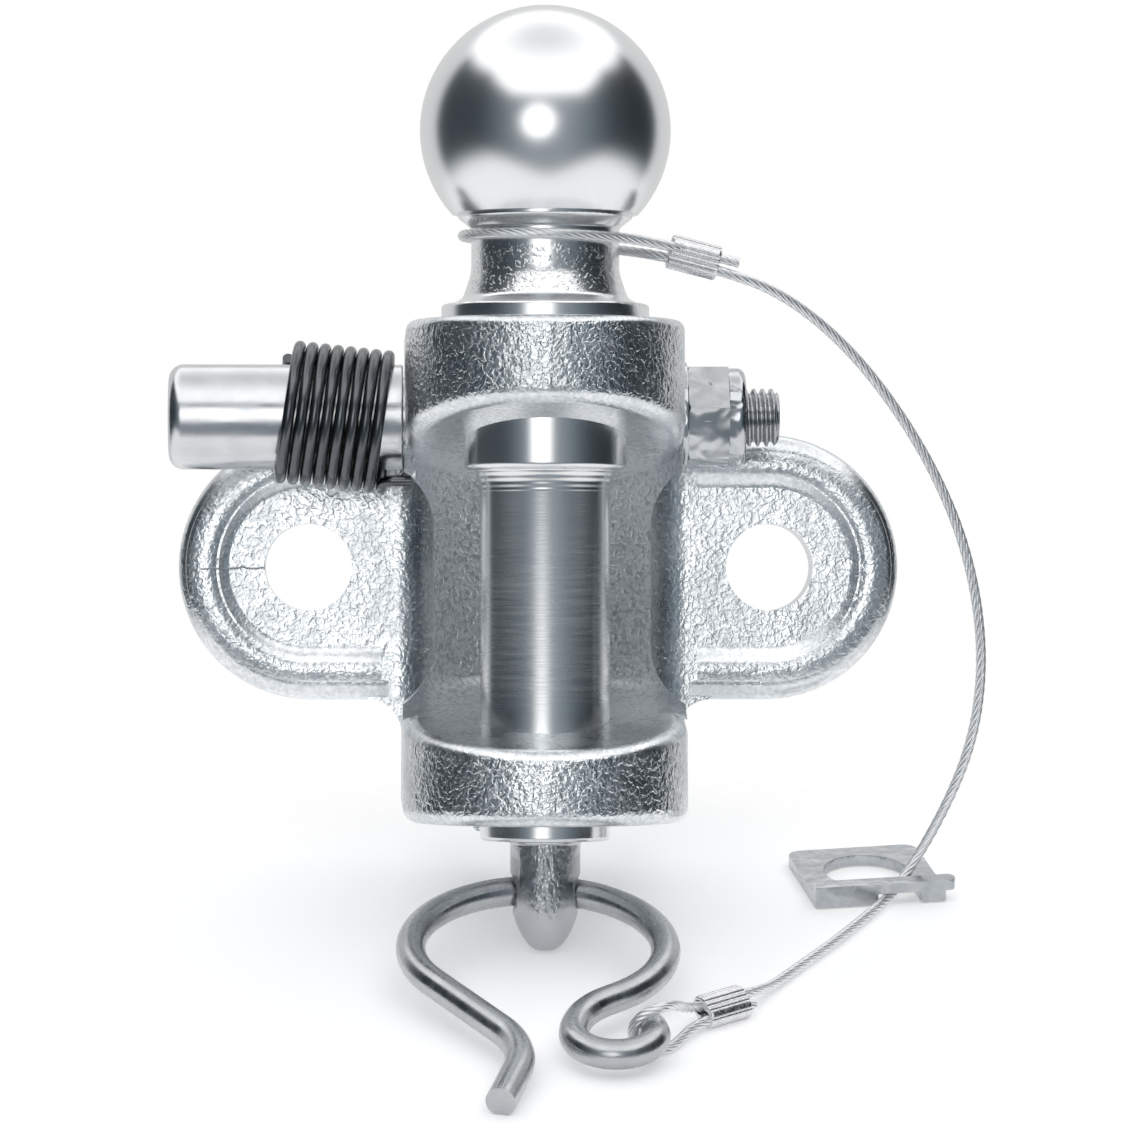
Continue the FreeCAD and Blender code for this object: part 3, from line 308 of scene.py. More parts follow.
def rope_recipe():
    """Strands twisted round a core, along whatever line the recipe is given."""
    rope = Recipe("laid_rope", Strands=6, Lay=ROPE_LAY, Strand_Radius=STRAND_RADIUS,
                  Off_Centre=ROPE_DIAMETER / 2 - STRAND_RADIUS, Sides=8)
    line = rope.node("GeometryNodeMeshToCurve", Mesh=rope.given["Geometry"]).outputs[0]
    strands = rope.node("GeometryNodeDuplicateElements", {"domain": "SPLINE"},
                        Geometry=line, Amount=rope.given["Strands"]).outputs
    run = rope.node("GeometryNodeSplineParameter").outputs["Length"]
    turns = rope.plus(
        rope.math("DIVIDE", strands["Duplicate Index"], rope.given["Strands"]),
        rope.math("DIVIDE", run, rope.given["Lay"]),
    )
    turn = rope.times(turns, 2 * math.pi)
    side = rope.node("GeometryNodeInputNormal").outputs[0]
    up = rope.vector("CROSS_PRODUCT", rope.node("GeometryNodeInputTangent").outputs[0], side)
    offsets = []
    for way, wave in ((side, "COSINE"), (up, "SINE")):
        reach = rope.times(rope.math(wave, turn), rope.given["Off Centre"])
        offsets.append(rope.node("ShaderNodeVectorMath", {"operation": "SCALE"},
                                 Vector=way, Scale=reach).outputs[0])
    laid = rope.node("GeometryNodeSetPosition", Geometry=strands["Geometry"],
                     Offset=rope.vector("ADD", *offsets))
    both = rope.node("GeometryNodeJoinGeometry")
    rope.put(both.inputs[0], laid.outputs[0])
    rope.put(both.inputs[0], line)
    ring = rope.node("GeometryNodeCurvePrimitiveCircle", Resolution=rope.given["Sides"],
                     Radius=rope.given["Strand Radius"])
    tube = rope.node("GeometryNodeCurveToMesh", Curve=both.outputs[0],
                     Profile_Curve=ring.outputs[0], Fill_Caps=True)
    rope.serve(tube.outputs[0])
    return rope


rope_steel = Finish("rope_steel", (0.70, 0.71, 0.72), 0.3, metallic=0.85)
rope_steel.scuff(0.0012, 0.28, 0.42)
rope_steel.tint(rope_steel.grain(0.004), (0.72, 0.73, 0.745), (0.90, 0.91, 0.92))
rope_steel.bump(rope_steel.grain(0.0004), 0.00001)

wire_rope = rope_recipe()
cable_line = even_steps(rope_line(CABLE_ROUTE), ROPE_STEP)
cable = wire_rope.make("lanyard_rope", rope_steel, cable_line)
neck_loop = wire_rope.make("neck_loop_rope", rope_steel,
                           even_steps(rope_line(NECK_LOOP_ROUTE), ROPE_STEP))
clip_loop = wire_rope.make("clip_loop_rope", rope_steel,
                           even_steps(rope_line(CLIP_LOOP_ROUTE), ROPE_STEP))
for rope, node in ((cable, "lanyard_cable"), (neck_loop, "neck_loop"), (clip_loop, "clip_loop")):
    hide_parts(node)
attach(neck_loop, "ball_pin")
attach(clip_loop, "clip")
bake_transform(cable)


# Ferrules: two fluted aluminium sleeves, pressed flat over the rope and its returning end. The
# press leaves bright lengthwise flutes, and fine drawn lines between them.
ferrule_aluminium = Finish("ferrule_aluminium", (0.76, 0.76, 0.77), 0.3)
ferrule_aluminium.scuff(0.0006, 0.2, 0.4)
ferrule_aluminium.tint(ferrule_aluminium.grain(0.0015, 3), (0.58, 0.58, 0.59), (0.88, 0.88, 0.89))
ferrule_aluminium.bump(ferrule_aluminium.grain(0.0004, 3), 0.00004)
wear(nodes["neck_ferrule"], ferrule_aluminium)
wear(nodes["clip_ferrule"], ferrule_aluminium)


# Housing: one iron casting with two jaws, a rounded channel and two bolting lugs, plated with
# bright zinc. The cast skin is an orange peel, strong on upright faces and faint on level
# ones, and the zinc is mottled in the channel. The channel's colour is also lifted overall, a
# painted sheen standing in for its brighter reflections. A crack line runs out of the left
# fixing hole, and two pits are in the right wall of the gap.
CHANNEL_HALF = (0.0215, 0.0250)
CHANNEL_FOOT = (-0.034, -0.027)
CHANNEL_HEAD = (0.020, 0.026)
LUG_FRONT = (-0.024, -0.016)
WORM_SIZE = 0.00095
WORM_SHARE = 0.62
LUMP_SIZE = 0.0024
SKIN_DEPTH = 0.00024
CRACK_LEVEL = -0.0003
CRACK_SPAN = (-0.0705, -0.0570)
CRACK_HALF = (0.00006, 0.00022)
CRACK_WANDER = 0.0018
CRACK_FADE = (0.002, 0.0004)
CRACK_BACK = (-0.0095, -0.0090)
PITS = (
    ((0.0214, 0.0128), (0.0006, 0.0004)),
    ((0.0215, 0.0064), (0.00045, 0.0014)),
)

zinc_casting = Finish("zinc_casting", (0.70, 0.72, 0.74), 0.25)


def casting_skin(finish):
    """The orange peel, the channel's mottled zinc and painted sheen, the crack and the pits."""
    x, y, z = finish.axes()
    facing = finish.node("ShaderNodeNewGeometry").outputs["Normal"]
    level = finish.node("ShaderNodeSeparateXYZ", Vector=facing).outputs["Z"]
    steep = finish.ramp(finish.size(level), 0.10, 0.42, 1.0, 0.16)
    inside = finish.times(
        finish.ramp(finish.size(x), *CHANNEL_HALF, 1.0, 0.0),
        finish.ramp(z, *CHANNEL_FOOT), finish.ramp(z, *CHANNEL_HEAD, 1, 0),
    )
    on_lug = finish.times(finish.ramp(y, *LUG_FRONT), finish.minus(1.0, inside))
    worms = finish.ramp(finish.grain(WORM_SIZE, 1.5, 0.5), 0.2, 0.8)
    lumps = finish.ramp(finish.grain(LUMP_SIZE, 1.0, 0.3), 0.2, 0.8)
    peel = finish.scaled(worms, WORM_SHARE, finish.times(lumps, 1 - WORM_SHARE))
    height = finish.times(peel, steep, finish.scaled(inside, 0.7, 1.0),
                          finish.scaled(on_lug, -0.5, 1.0))

    wander = finish.scaled(finish.grain(0.0035, 2.0, 0.0, (1, 0, 0)),
                           CRACK_WANDER, CRACK_LEVEL - CRACK_WANDER / 2)
    marks = finish.times(
        finish.ramp(finish.size(finish.minus(z, wander)), *CRACK_HALF, 1, 0),
        finish.ramp(x, CRACK_SPAN[0], CRACK_SPAN[0] + CRACK_FADE[0]),
        finish.ramp(x, CRACK_SPAN[1], CRACK_SPAN[1] + CRACK_FADE[1], 1, 0),
        finish.ramp(y, *CRACK_BACK, 1, 0),
    )
    for (across, up), (half_width, half_height) in PITS:
        side = finish.math("DIVIDE", finish.minus(x, across), half_width)
        rise = finish.math("DIVIDE", finish.minus(z, up), half_height)
        reach = finish.math("SQRT", finish.plus(finish.times(side, side),
                                                finish.times(rise, rise)))
        marks = finish.math("MAXIMUM", marks, finish.ramp(reach, 0.7, 1.1, 1, 0))
    finish.bump(finish.minus(height, marks), SKIN_DEPTH)

    dull = finish.plus(finish.ramp(finish.grain(0.009, 3), 0.35, 0.65, 0.24, 0.32),
                       finish.times(inside, 0.03))
    finish.rough(finish.scaled(marks, 0.6, dull))
    cloud = finish.plus(finish.grain(0.02, 3), finish.times(worms, 0.4))
    # Painted sheen with real mottling: in the channel the mottle is biased upwards, so it also
    # lifts the channel's colour overall, standing in for its brighter reflections.
    mottle_and_sheen = finish.times(inside, finish.scaled(worms, 1.6, -0.3))
    tone = finish.plus(finish.ramp(cloud, 0.4, 1.0), mottle_and_sheen)
    finish.tint(finish.minus(tone, marks), (0.62, 0.65, 0.67), (0.90, 0.92, 0.94))
    finish.put(finish.shader.inputs["Metallic"], finish.scaled(inside, -0.3, 1.0))


LUG_HOLE = 0.0475
LUG_FACE = -0.0119
RIM_RUN = 0.0150
RIM_STEPS = 64
RIM_MIDDLE = 0.0190
RIM_SINK = -0.00005


def face_out(piece):
    """Turns a closed mesh's faces outwards after it was mirrored or turned."""
    shape = bmesh.new()
    shape.from_mesh(piece.data)
    bmesh.ops.recalc_face_normals(shape, faces=shape.faces)
    shape.to_mesh(piece.data)
    shape.free()


def rim_line():
    """The lug's rim seen from in front: a half circle round the hole and two straight legs."""
    line = [(-RIM_RUN, -RIM_MIDDLE, 0.0)]
    for step in range(RIM_STEPS + 1):
        turn = math.pi * (step / RIM_STEPS - 0.5)
        line.append((RIM_MIDDLE * math.cos(turn), RIM_MIDDLE * math.sin(turn), 0.0))
    return line + [(-RIM_RUN, RIM_MIDDLE, 0.0)]


def rim_recipe():
    """A cast bead whose inner side slopes down into the lug's dish."""
    rim = Recipe("lug_rim", Inner_Foot=-0.0032, Inner_Swell=-0.0006, Crest=0.0028,
                 Outer_Swell=0.0, Outer_Foot=0.0052, Outer_Level=0.0009)
    line = rim.node("GeometryNodeMeshToCurve", Mesh=rim.given["Geometry"]).outputs[0]
    level = rim.node("GeometryNodeSetCurveNormal", {"mode": "Z_UP"}, Curve=line)
    corners = []
    for across, up in (("Inner Foot", RIM_SINK), ("Inner Swell", 0.0),
                       ("Outer Swell", rim.given["Crest"]),
                       ("Outer Foot", rim.given["Outer Level"])):
        corners.append(rim.node("ShaderNodeCombineXYZ", X=rim.given[across], Y=up).outputs[0])
    hump = rim.node("GeometryNodeCurvePrimitiveBezierSegment", Resolution=14, Start=corners[0],
                    Start_Handle=corners[1], End_Handle=corners[2], End=corners[3])
    closed = rim.node("GeometryNodeSetSplineCyclic", Geometry=hump.outputs[0], Cyclic=True)
    rim.serve(rim.node("GeometryNodeCurveToMesh", Curve=level.outputs[0],
                       Profile_Curve=closed.outputs[0], Fill_Caps=True).outputs[0])
    return rim


casting_skin(zinc_casting)
wear(nodes["housing"], zinc_casting)
cast_rim = rim_recipe()
upright = Matrix.Rotation(math.radians(-90), 4, "X")
for side, way in (("left", -1), ("right", 1)):
    lug_rim = cast_rim.make(f"{side}_lug_rim", zinc_casting, rim_line())
    stand = Matrix.Translation((way * LUG_HOLE, LUG_FACE, 0.0)) @ upright
    lug_rim.data.transform(stand @ Matrix.Scale(way, 4, (1, 0, 0)))
    face_out(lug_rim)
    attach(lug_rim, "housing")


# Ball pin: one turned steel part with the 50 mm ball, neck, collars, shank and tapered tail. The
# ball is polished, the neck is pecked, the shank is scuffed by the towing eye, and rings from
# the lathe show under the collar. The tail is rougher, with a hammered facet in front, and its
# end is worn round. The tail's base colour is darkened as painted shade, standing in for the
# shadowed floor and clip that it reflects.
SHANK_FOOT = (-0.032, -0.024)
SHANK_HEAD = (0.012, 0.016)
LATHED_FOOT = (0.0146, 0.0152)
LATHED_HEAD = (0.0188, 0.0194)
LATHE_WAVES = 5200.0
NECK_FOOT = (0.0530, 0.0550)
NECK_HEAD = (0.0625, 0.0640)
BALL_FOOT = (0.066, 0.070)
TAIL_HEAD = (-0.056, -0.054)
FACET_HALF = (0.0016, 0.0034)
FACET_FOOT = (-0.0735, -0.0690)
PIN_RELIEF = 0.0004
TAIL_AXIS = -0.0490
TAIL_CUTS = 15
TAIL_CUT = 0.0007
TAIL_SOLID = ((-0.0660, 0.00700), (-0.0680, 0.00697), (-0.0692, 0.00678), (-0.0704, 0.00642),
              (-0.0716, 0.00604), (-0.0728, 0.00568), (-0.0740, 0.00534), (-0.0752, 0.00492),
              (-0.0760, 0.00420), (-0.0765, 0.00330))
TAIL_WORN = ((-0.0660, 0.00700), (-0.0680, 0.00670), (-0.0692, 0.00640), (-0.0704, 0.00608),
             (-0.0716, 0.00563), (-0.0728, 0.00508), (-0.0740, 0.00440), (-0.0752, 0.00350),
             (-0.0760, 0.00255), (-0.0765, 0.00160))
CORNER_REACH = 1e-6

pin_steel = Finish("pin_steel", (0.74, 0.75, 0.76), 0.2)


def pin_surface(finish):
    """Scuffs, pecks, lathe rings, hammer blows and painted shade, each on its own stretch of the
    pin.
    """
    x, y, z = finish.axes()
    on_shank = finish.times(finish.ramp(z, *SHANK_FOOT), finish.ramp(z, *SHANK_HEAD, 1, 0))
    on_lathed = finish.times(finish.ramp(z, *LATHED_FOOT), finish.ramp(z, *LATHED_HEAD, 1, 0))
    on_neck = finish.times(finish.ramp(z, *NECK_FOOT), finish.ramp(z, *NECK_HEAD, 1, 0))
    on_ball = finish.ramp(z, *BALL_FOOT)
    on_tail = finish.ramp(z, *TAIL_HEAD, 1, 0)
    on_facet = finish.times(finish.ramp(finish.size(x), *FACET_HALF, 1, 0.22),
                            finish.ramp(z, *FACET_FOOT))

    rings = finish.grain(0.0006, 2.0, 0.0, (0.04, 0.04, 1.0))
    scratches = finish.times(on_shank, finish.grain(0.00032, 2.0, 0.0, (0.05, 0.05, 1.0)))
    pecks = finish.times(on_neck, finish.ramp(finish.grain(0.0008, 2.0, 0.4), 0.5, 0.75))
    wave = finish.math("SINE", finish.times(z, LATHE_WAVES))
    lathe = finish.times(on_lathed, finish.scaled(wave, 0.5, 0.5))
    blows = finish.ramp(finish.grain(0.0011, 1.5, 0.5, (1.2, 1.0, 0.6)), 0.2, 0.8)
    beaten = finish.times(on_tail, blows, on_facet)
    finish.bump(finish.plus(
        finish.times(rings, 0.008), finish.times(scratches, 0.022), finish.times(pecks, 0.17),
        finish.times(lathe, 0.10), finish.times(beaten, 0.55)), PIN_RELIEF)

    worn = finish.times(
        on_shank, finish.ramp(z, 0.014, -0.006, 0.15, 1.0),
        finish.ramp(finish.grain(0.0007, 3.0, 0.0, (0.06, 0.06, 1.0)), 0.20, 0.80))
    finish.rough(finish.plus(finish.scaled(on_ball, 0.01, 0.23), finish.times(worn, 0.08),
                             finish.times(on_tail, 0.08)))
    # Painted shade: the tail's base colour is pulled towards the dark grey, standing in for the
    # shadowed floor and clip that the tail reflects.
    finish.tint(finish.scaled(on_tail, -0.75, 1.0), (0.42, 0.44, 0.46), (0.80, 0.81, 0.82))


def reworked(node, name, change=None):
    """A new piece from a copy of a node's solid, which change works on in its merged form."""
    mesh = nodes[node].data.copy()
    shape = bmesh.new()
    shape.from_mesh(mesh)
    bmesh.ops.remove_doubles(shape, verts=shape.verts, dist=CORNER_REACH)
    if change:
        change(shape)
    shape.to_mesh(mesh)
    shape.free()
    return add_object(name, mesh)


def whole(shape):
    return shape.verts[:] + shape.edges[:] + shape.faces[:]


def level_radius(profile, level):
    """The radius at a height, read off a turned profile."""
    for (upper, wide), (lower, narrow) in zip(profile, profile[1:]):
        if level >= lower:
            return wide + (narrow - wide) * min(1.0, (upper - level) / (upper - lower))
    return profile[-1][1]


def wear_tail(shape):
    """Rounds off the tail's end, as the photograph shows it."""
    top = TAIL_SOLID[0][0]
    for step in range(TAIL_CUTS):
        bmesh.ops.bisect_plane(shape, geom=whole(shape), plane_co=(0, 0, top - TAIL_CUT * step),
                               plane_no=(0, 0, 1))
    for corner in shape.verts:
        if corner.co.z < top:
            share = level_radius(TAIL_WORN, corner.co.z) / level_radius(TAIL_SOLID, corner.co.z)
            corner.co.x *= share
            corner.co.y = TAIL_AXIS + (corner.co.y - TAIL_AXIS) * share


pin_surface(pin_steel)
ball_pin = reworked("ball_pin", "worn_ball_pin", wear_tail)
wear(ball_pin, pin_steel)
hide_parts("ball_pin")
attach(ball_pin, "ball_pin")


# Lock spindle: a plated steel bar across the casting, with a thick grip at its left end and an
# M12 thread at its right end. The grip has a satin, lengthwise drawn finish.
THREAD_START = 0.0400
THREAD_END = 0.0482
THREAD_RINGS = 90
SPINDLE_AXIS = (-0.0275, 0.0303)

spindle_steel = Finish("spindle_steel", (0.72, 0.73, 0.74), 0.3)
spindle_steel.scuff(0.003, 0.16, 0.27, 3, (0.4, 1, 1))
spindle_steel.tint(spindle_steel.grain(0.006, 3), (0.54, 0.55, 0.57), (0.74, 0.75, 0.77))
spindle_steel.bump(spindle_steel.grain(0.0012, 2, 0, (0.08, 1, 1)), 0.000012)


def cut_thread_off(shape):
    """Leaves out the threaded end, and closes the cut."""
    bmesh.ops.bisect_plane(shape, geom=whole(shape), plane_co=(THREAD_START, 0, 0),
                           plane_no=(1, 0, 0), clear_outer=True)
    bmesh.ops.holes_fill(shape, edges=[edge for edge in shape.edges if edge.is_boundary])


def thread_recipe():
    """A right-hand thread: a tube's radius swings between root and crest as it winds."""
    thread = Recipe("spindle_thread", Start=THREAD_START, Length=THREAD_END - THREAD_START,
                    Pitch=0.00175, Root=0.0049, Crest=0.0059, Round=0.0014,
                    Rings=THREAD_RINGS, Sides=49)
    start, length, pitch, root, crest, rounding = (
        thread.given[label] for label in ("Start", "Length", "Pitch", "Root", "Crest", "Round"))
    sheet = thread.node("GeometryNodeMeshGrid", Size_X=1.0, Size_Y=1.0,
                        Vertices_X=thread.given["Rings"], Vertices_Y=thread.given["Sides"])
    place = thread.node("GeometryNodeInputPosition").outputs[0]
    across = thread.node("ShaderNodeSeparateXYZ", Vector=place).outputs
    run = thread.plus(across["X"], 0.5)
    turns = thread.plus(across["Y"], 0.5)
    along = thread.times(run, length)
    phase = thread.math("FRACT", thread.plus(thread.math("DIVIDE", along, pitch), turns))
    rise = thread.ramp(thread.size(thread.minus(phase, 0.5)), 0.08, 0.42, 1, 0)
    short = thread.math("MAXIMUM", thread.minus(rounding, thread.minus(length, along)), 0.0)
    fall = thread.math("DIVIDE", thread.times(short, short), rounding)
    radius = thread.times(
        thread.math("MINIMUM", thread.scaled(rise, thread.minus(crest, root), root),
                    thread.minus(crest, fall)),
        thread.math("GREATER_THAN", run, 0.0001), thread.math("LESS_THAN", run, 0.9999),
    )
    turn = thread.times(turns, 2 * math.pi)
    low = thread.times(thread.math("SINE", turn), radius)
    spot = thread.node(
        "ShaderNodeCombineXYZ", X=thread.plus(along, start),
        Y=thread.scaled(thread.math("COSINE", turn), radius, SPINDLE_AXIS[0]),
        Z=thread.minus(SPINDLE_AXIS[1], low))
    wound = thread.node("GeometryNodeSetPosition", Geometry=sheet.outputs[0],
                        Position=spot.outputs[0])
    closed = thread.node("GeometryNodeMergeByDistance", Geometry=wound.outputs[0],
                         Distance=0.00001)
    thread.serve(closed.outputs[0])
    return thread


threaded_spindle = reworked("lock_spindle", "threaded_spindle", cut_thread_off)
wear(threaded_spindle, spindle_steel)
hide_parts("lock_spindle")
thread_steel = Finish("thread_steel", (0.42, 0.43, 0.45), 0.2)
thread_steel.scuff(0.002, 0.14, 0.26, 3)
spindle_thread = thread_recipe().make("spindle_thread", thread_steel)
for turned in (threaded_spindle, spindle_thread):
    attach(turned, "spindle")


# Torsion spring: eight turns of dark oiled spring wire round the grip. In life, one leg is held
# in the casting and the other turns with the spindle, so the coil winds up between them.
spring_steel = Finish("spring_steel", (0.10, 0.105, 0.115), 0.2)
spring_steel.scuff(0.004, 0.17, 0.24)
spring_steel.tint(spring_steel.grain(0.005, 3), (0.08, 0.086, 0.094), (0.16, 0.17, 0.18))
torsion_spring = reworked("torsion_spring", "wound_spring")
wear(torsion_spring, spring_steel)
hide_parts("torsion_spring")
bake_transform(torsion_spring)


# Washer and lock nut: bright zinc plated steel with softened edges, and a plain nylon ring in
# the nut's collar. A run of zinc is frozen on the nut's lower front face.
NUT_LOW = math.radians(-30)
NUT_FLAT_INSET = 0.0012
DRIP_RINGS = 6
DRIP_STEPS = 4
DRIP_SINK = 0.0002
DRIP_SWELL = 0.0004
DRIP_OUTLINE = [
    (0.0306, 0.0036), (0.0330, 0.0046), (0.0362, 0.0040), (0.0368, 0.0018), (0.0344, 0.0004),
    (0.0340, -0.0012), (0.0362, -0.0022), (0.0368, -0.0040), (0.0350, -0.0048),
    (0.0330, -0.0030), (0.0312, -0.0006),
]

zinc_hardware = Finish("zinc_hardware", (0.78, 0.79, 0.80), 0.2)
zinc_hardware.scuff(0.004, 0.09, 0.18, 3)
zinc_hardware.tint(zinc_hardware.grain(0.005, 3), (0.36, 0.38, 0.40), (0.70, 0.72, 0.74))
zinc_hardware.bump(zinc_hardware.grain(0.0060, 1.0, 0.5), 0.0008)


def flat_faces(shape):
    """Joins the triangles of each flat face, so that only real edges are left."""
    bmesh.ops.dissolve_limit(shape, angle_limit=math.radians(1), verts=shape.verts,
                             edges=shape.edges)


def softened(node, name, width):
    """A copy of a node's solid with its sharp edges rounded, as the zinc coat rounds them."""
    piece = reworked(node, name, flat_faces)
    edge = piece.modifiers.new("edge", "BEVEL")
    edge.width = width
    edge.segments = 3
    edge.limit_method = "ANGLE"
    edge.angle_limit = math.radians(28)
    edge.harden_normals = True
    ready = piece.evaluated_get(bpy.context.evaluated_depsgraph_get())
    rounded = bpy.data.meshes.new_from_object(ready)
    piece.modifiers.remove(edge)
    piece.data = rounded
    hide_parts(node)
    return piece


def zinc_drip(name, middle, turn, outline, swell):
    """A frozen run of zinc: a smooth flat blob on a face that is turned about the spindle."""
    out = Vector((0, -math.cos(turn), math.sin(turn)))
    up = Vector((0, math.sin(turn), math.cos(turn)))
    hull = [Vector((x, 0, 0)) + up * y for x, y in outline]
    count = len(hull) * DRIP_STEPS
    edge = []
    for step in range(count):
        spot, share = divmod(step / DRIP_STEPS, 1)
        before, here, after, beyond = (
            hull[(int(spot) + shift) % len(hull)] for shift in (-1, 0, 1, 2))
        edge.append(0.5 * (2 * here + (after - before) * share
                           + (2 * before - 5 * here + 4 * after - beyond) * share ** 2
                           + (3 * here - before - 3 * after + beyond) * share ** 3))
    centre = sum(edge, Vector()) / count
    points = [middle + centre + out * swell]
    for ring in range(1, DRIP_RINGS + 1):
        share = ring / DRIP_RINGS
        lift = swell * math.sqrt(max(0.0, 1 - share ** 3)) - DRIP_SINK
        points += [middle + centre.lerp(spot, share) + out * lift for spot in edge]
    faces = [(0, 1 + step, 1 + (step + 1) % count) for step in range(count)]
    for ring in range(DRIP_RINGS - 1):
        first, second = 1 + ring * count, 1 + (ring + 1) * count
        for step in range(count):
            after = (step + 1) % count
            faces.append((first + step, second + step, second + after, first + after))
    last = 1 + (DRIP_RINGS - 1) * count
    faces.append(tuple(last + step for step in range(count - 1, -1, -1)))
    mesh = bpy.data.meshes.new(name)
    mesh.from_pydata(points, [], faces)
    mesh.polygons.foreach_set("use_smooth", [True] * len(faces))
    drip = add_object(name, mesh)
    face_out(drip)
    wear(drip, zinc_hardware)
    return drip


for hardware in (softened("spindle_washer", "rounded_washer", 0.0003),
                 softened("lock_nut", "rounded_nut", 0.0005)):
    wear(hardware, zinc_hardware)
    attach(hardware, "spindle")

nut_low, nut_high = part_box("lock_nut")
nut_flat = (nut_high[2] - nut_low[2]) / 2 - NUT_FLAT_INSET
low_face = Vector((0.0, SPINDLE_AXIS[0] - math.cos(NUT_LOW) * nut_flat,
                   SPINDLE_AXIS[1] + math.sin(NUT_LOW) * nut_flat))
nut_run = zinc_drip("nut_drip", low_face, NUT_LOW, DRIP_OUTLINE, DRIP_SWELL)
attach(nut_run, "spindle")

nylon = Finish("nylon", (0.55, 0.57, 0.60), 0.45, metallic=0.0)
nylon.bump(nylon.grain(0.0006, 2), 0.00003)
wear(nodes["nut_insert"], nylon)


# Wire clip: 5.8 mm plated wire, bent to a ring that goes through the pin's tail, an open leg and
# an eye for the rope. The plating is dull, with faint marks all over.
clip_steel = Finish("clip_steel", (0.60, 0.61, 0.62), 0.2)
clip_steel.scuff(0.003, 0.22, 0.33, 3)
clip_steel.tint(clip_steel.grain(0.007, 3), (0.40, 0.415, 0.43), (0.56, 0.575, 0.59))
clip_steel.bump(clip_steel.grain(0.0030, 2), 0.00003)
wear(nodes["retaining_clip"], clip_steel)


# Anchor plate: 2.3 mm zinc plated sheet with a bolt hole, its front edge folded back over the
# rope as a strip. The sheet is slightly wavy, with dull and bright patches.
plate_steel = Finish("plate_steel", (0.76, 0.77, 0.78), 0.22)
plate_steel.scuff(0.0035, 0.14, 0.32, 4)
plate_steel.tint(plate_steel.grain(0.003, 4, 0.6), (0.34, 0.36, 0.38), (0.58, 0.60, 0.62))
plate_steel.bump(plate_steel.grain(0.006, 2, 0.3), 0.00035)
anchor_plate = softened("anchor_plate", "rounded_plate", 0.0006)
wear(anchor_plate, plate_steel)
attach(anchor_plate, "ball_pin")


# Floor: the white sheet that the clip and the plate lie on. It slopes down to the front, glows
# a little, and fades into the background away from its middle.
FLOOR_MIDDLE = Vector((0.012, -0.080, 0.0))
FLOOR_SLOPE = 0.33
FLOOR_LEVEL = -0.0768
FLOOR_HALF = 0.20
FLOOR_FADE = (0.085, 0.150)
floor_points = []
for across, along in ((-1, -1), (1, -1), (1, 1), (-1, 1)):
    corner = FLOOR_MIDDLE + Vector((across * FLOOR_HALF, along * FLOOR_HALF, 0))
    corner.z = FLOOR_LEVEL + FLOOR_SLOPE * (corner.y - TAIL_AXIS)
    floor_points.append(corner)
floor_mesh = bpy.data.meshes.new("floor")
floor_mesh.from_pydata(floor_points, [], [(0, 1, 2, 3)])
floor = add_object("floor", floor_mesh)
floor_white = Finish("floor_white", (0.9, 0.9, 0.9), 0.8, metallic=0.0)


def floor_fade(finish):
    """A white, softly glowing surface that turns clear away from the floor's middle."""
    away = finish.vector("SUBTRACT", finish.place, FLOOR_MIDDLE)
    flat = finish.vector("MULTIPLY", away, (1, 1, 0))
    reach = finish.node("ShaderNodeVectorMath", {"operation": "LENGTH"}, Vector=flat)
    kept = finish.ramp(reach.outputs["Value"], *FLOOR_FADE, 1.0, 0.0)
    soft = finish.node("ShaderNodeBsdfDiffuse", Color=(0.86, 0.86, 0.865, 1))
    glow = finish.node("ShaderNodeEmission", Color=(1, 1, 1, 1), Strength=0.30)
    sheet = finish.node("ShaderNodeAddShader")
    clear = finish.node("ShaderNodeBsdfTransparent")
    mixed = finish.node("ShaderNodeMixShader", Fac=kept)
    surface = finish.tree.nodes["Material Output"].inputs["Surface"]
    for socket, shader in ((sheet.inputs[0], soft), (sheet.inputs[1], glow),
                           (mixed.inputs[1], clear), (mixed.inputs[2], sheet), (surface, mixed)):
        finish.put(socket, shader.outputs[0])


floor_fade(floor_white)
wear(floor, floor_white)


# Light: a white surround with a bright ceiling and a white table. Two dark cards stand left and
# right of the camera, with the dim studio and a small round window between them. The camera
# itself sees plain white. Directions are in degrees: turn from straight behind the camera to
# the right, and lift from level upwards. Dim directions are a little bluer than bright ones.
CARD_TOP = 26.0
CARD_SHOULDER = 35.0
CARD_RISE = 0.48
CARD_PEAK = 42.0
CARD_FOOT = -19.0
CARD_END = (114.0, 126.0)
TABLE_DIP = -23.0
TABLE_GLOW = 0.3
WALL_GLOW = 0.75
CEILING_SPAN = (48.0, 85.0)
CEILING_GLOW = (0.75, 0.15)
WINDOW_MIDDLE = (-8.0, 4.0)
WINDOW_REACH = (12.0, 20.0)
WINDOW_GLOW = 1.9
COOL_WHITE = (0.66, 0.85, 1.0, 1)
WHITE = (1, 1, 1, 1)
world = bpy.data.worlds.new("studio")
world.use_nodes = True
bpy.context.scene.world = world


class Surround(Finish):
    """The world's node tree, which reads the direction that a ray leaves in."""

    def __init__(self, tree):
        self.tree = tree
        self.place = self.node("ShaderNodeTexCoord").outputs["Generated"]


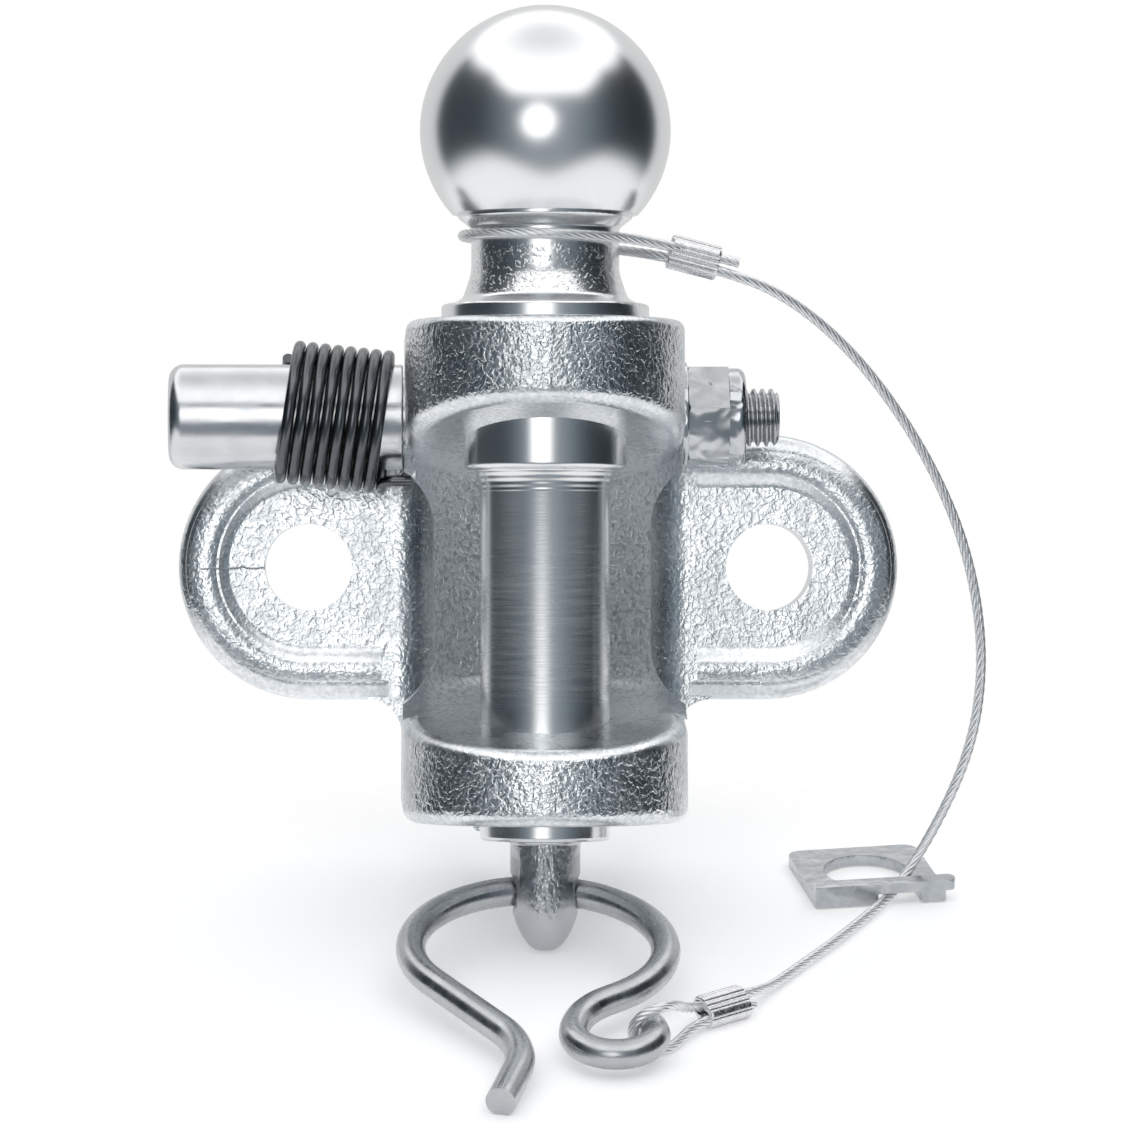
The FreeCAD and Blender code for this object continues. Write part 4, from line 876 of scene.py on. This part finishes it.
def light_studio(studio):
    """How bright and how cool each direction is."""
    x, y, z = studio.axes()
    turn = studio.math("DEGREES", studio.math("ARCTAN2", x, studio.times(y, -1.0)))
    lift = studio.math("DEGREES", studio.math("ARCSINE", z))
    aside = studio.size(turn)
    past = studio.math("MAXIMUM", studio.minus(aside, CARD_SHOULDER), 0.0)
    top = studio.math("MINIMUM", studio.scaled(past, CARD_RISE, CARD_TOP), CARD_PEAK)
    foot = studio.scaled(studio.ramp(aside, 0.0, 65.0, 1.0, 0.0), TABLE_DIP, CARD_FOOT)
    above = studio.ramp(studio.minus(lift, top), -3.0, 6.0)
    below = studio.ramp(studio.minus(lift, foot), -10.0, 8.0, 1.0, 0.0)
    dark = studio.times(studio.ramp(aside, *CARD_END, 1, 0), studio.minus(1.0, above),
                        studio.minus(1.0, below))
    ceiling = studio.times(above, studio.ramp(lift, *CEILING_SPAN, *CEILING_GLOW))
    pale = studio.plus(ceiling, studio.times(below, TABLE_GLOW), WALL_GLOW)
    dim = studio.times(studio.ramp(aside, 10.0, 70.0, 0.34, 0.06),
                       studio.ramp(turn, 60.0, 90.0, 1.0, 0.55))
    seen = studio.plus(studio.times(dark, dim), studio.times(studio.minus(1.0, dark), pale))
    off_turn = studio.minus(turn, WINDOW_MIDDLE[0])
    off_lift = studio.minus(lift, WINDOW_MIDDLE[1])
    reach = studio.math("SQRT", studio.plus(studio.times(off_turn, off_turn),
                                            studio.times(off_lift, off_lift)))
    window = studio.ramp(reach, *WINDOW_REACH, 1.0, 0.0)
    seen = studio.math("MAXIMUM", seen, studio.times(window, WINDOW_GLOW))

    at_camera = studio.node("ShaderNodeLightPath").outputs["Is Camera Ray"]
    strength = studio.node("ShaderNodeMix")
    for index, value in ((0, at_camera), (2, seen), (3, 1.0)):
        studio.put(strength.inputs[index], value)
    cool = studio.between(studio.ramp(seen, 0.05, 0.7), COOL_WHITE, WHITE)
    background = studio.tree.nodes["Background"].inputs
    studio.put(background["Color"], studio.between(at_camera, cool, WHITE))
    studio.put(background["Strength"], strength.outputs[0])


light_studio(Surround(world.node_tree))

bpy.context.scene.view_settings.view_transform = "Standard"
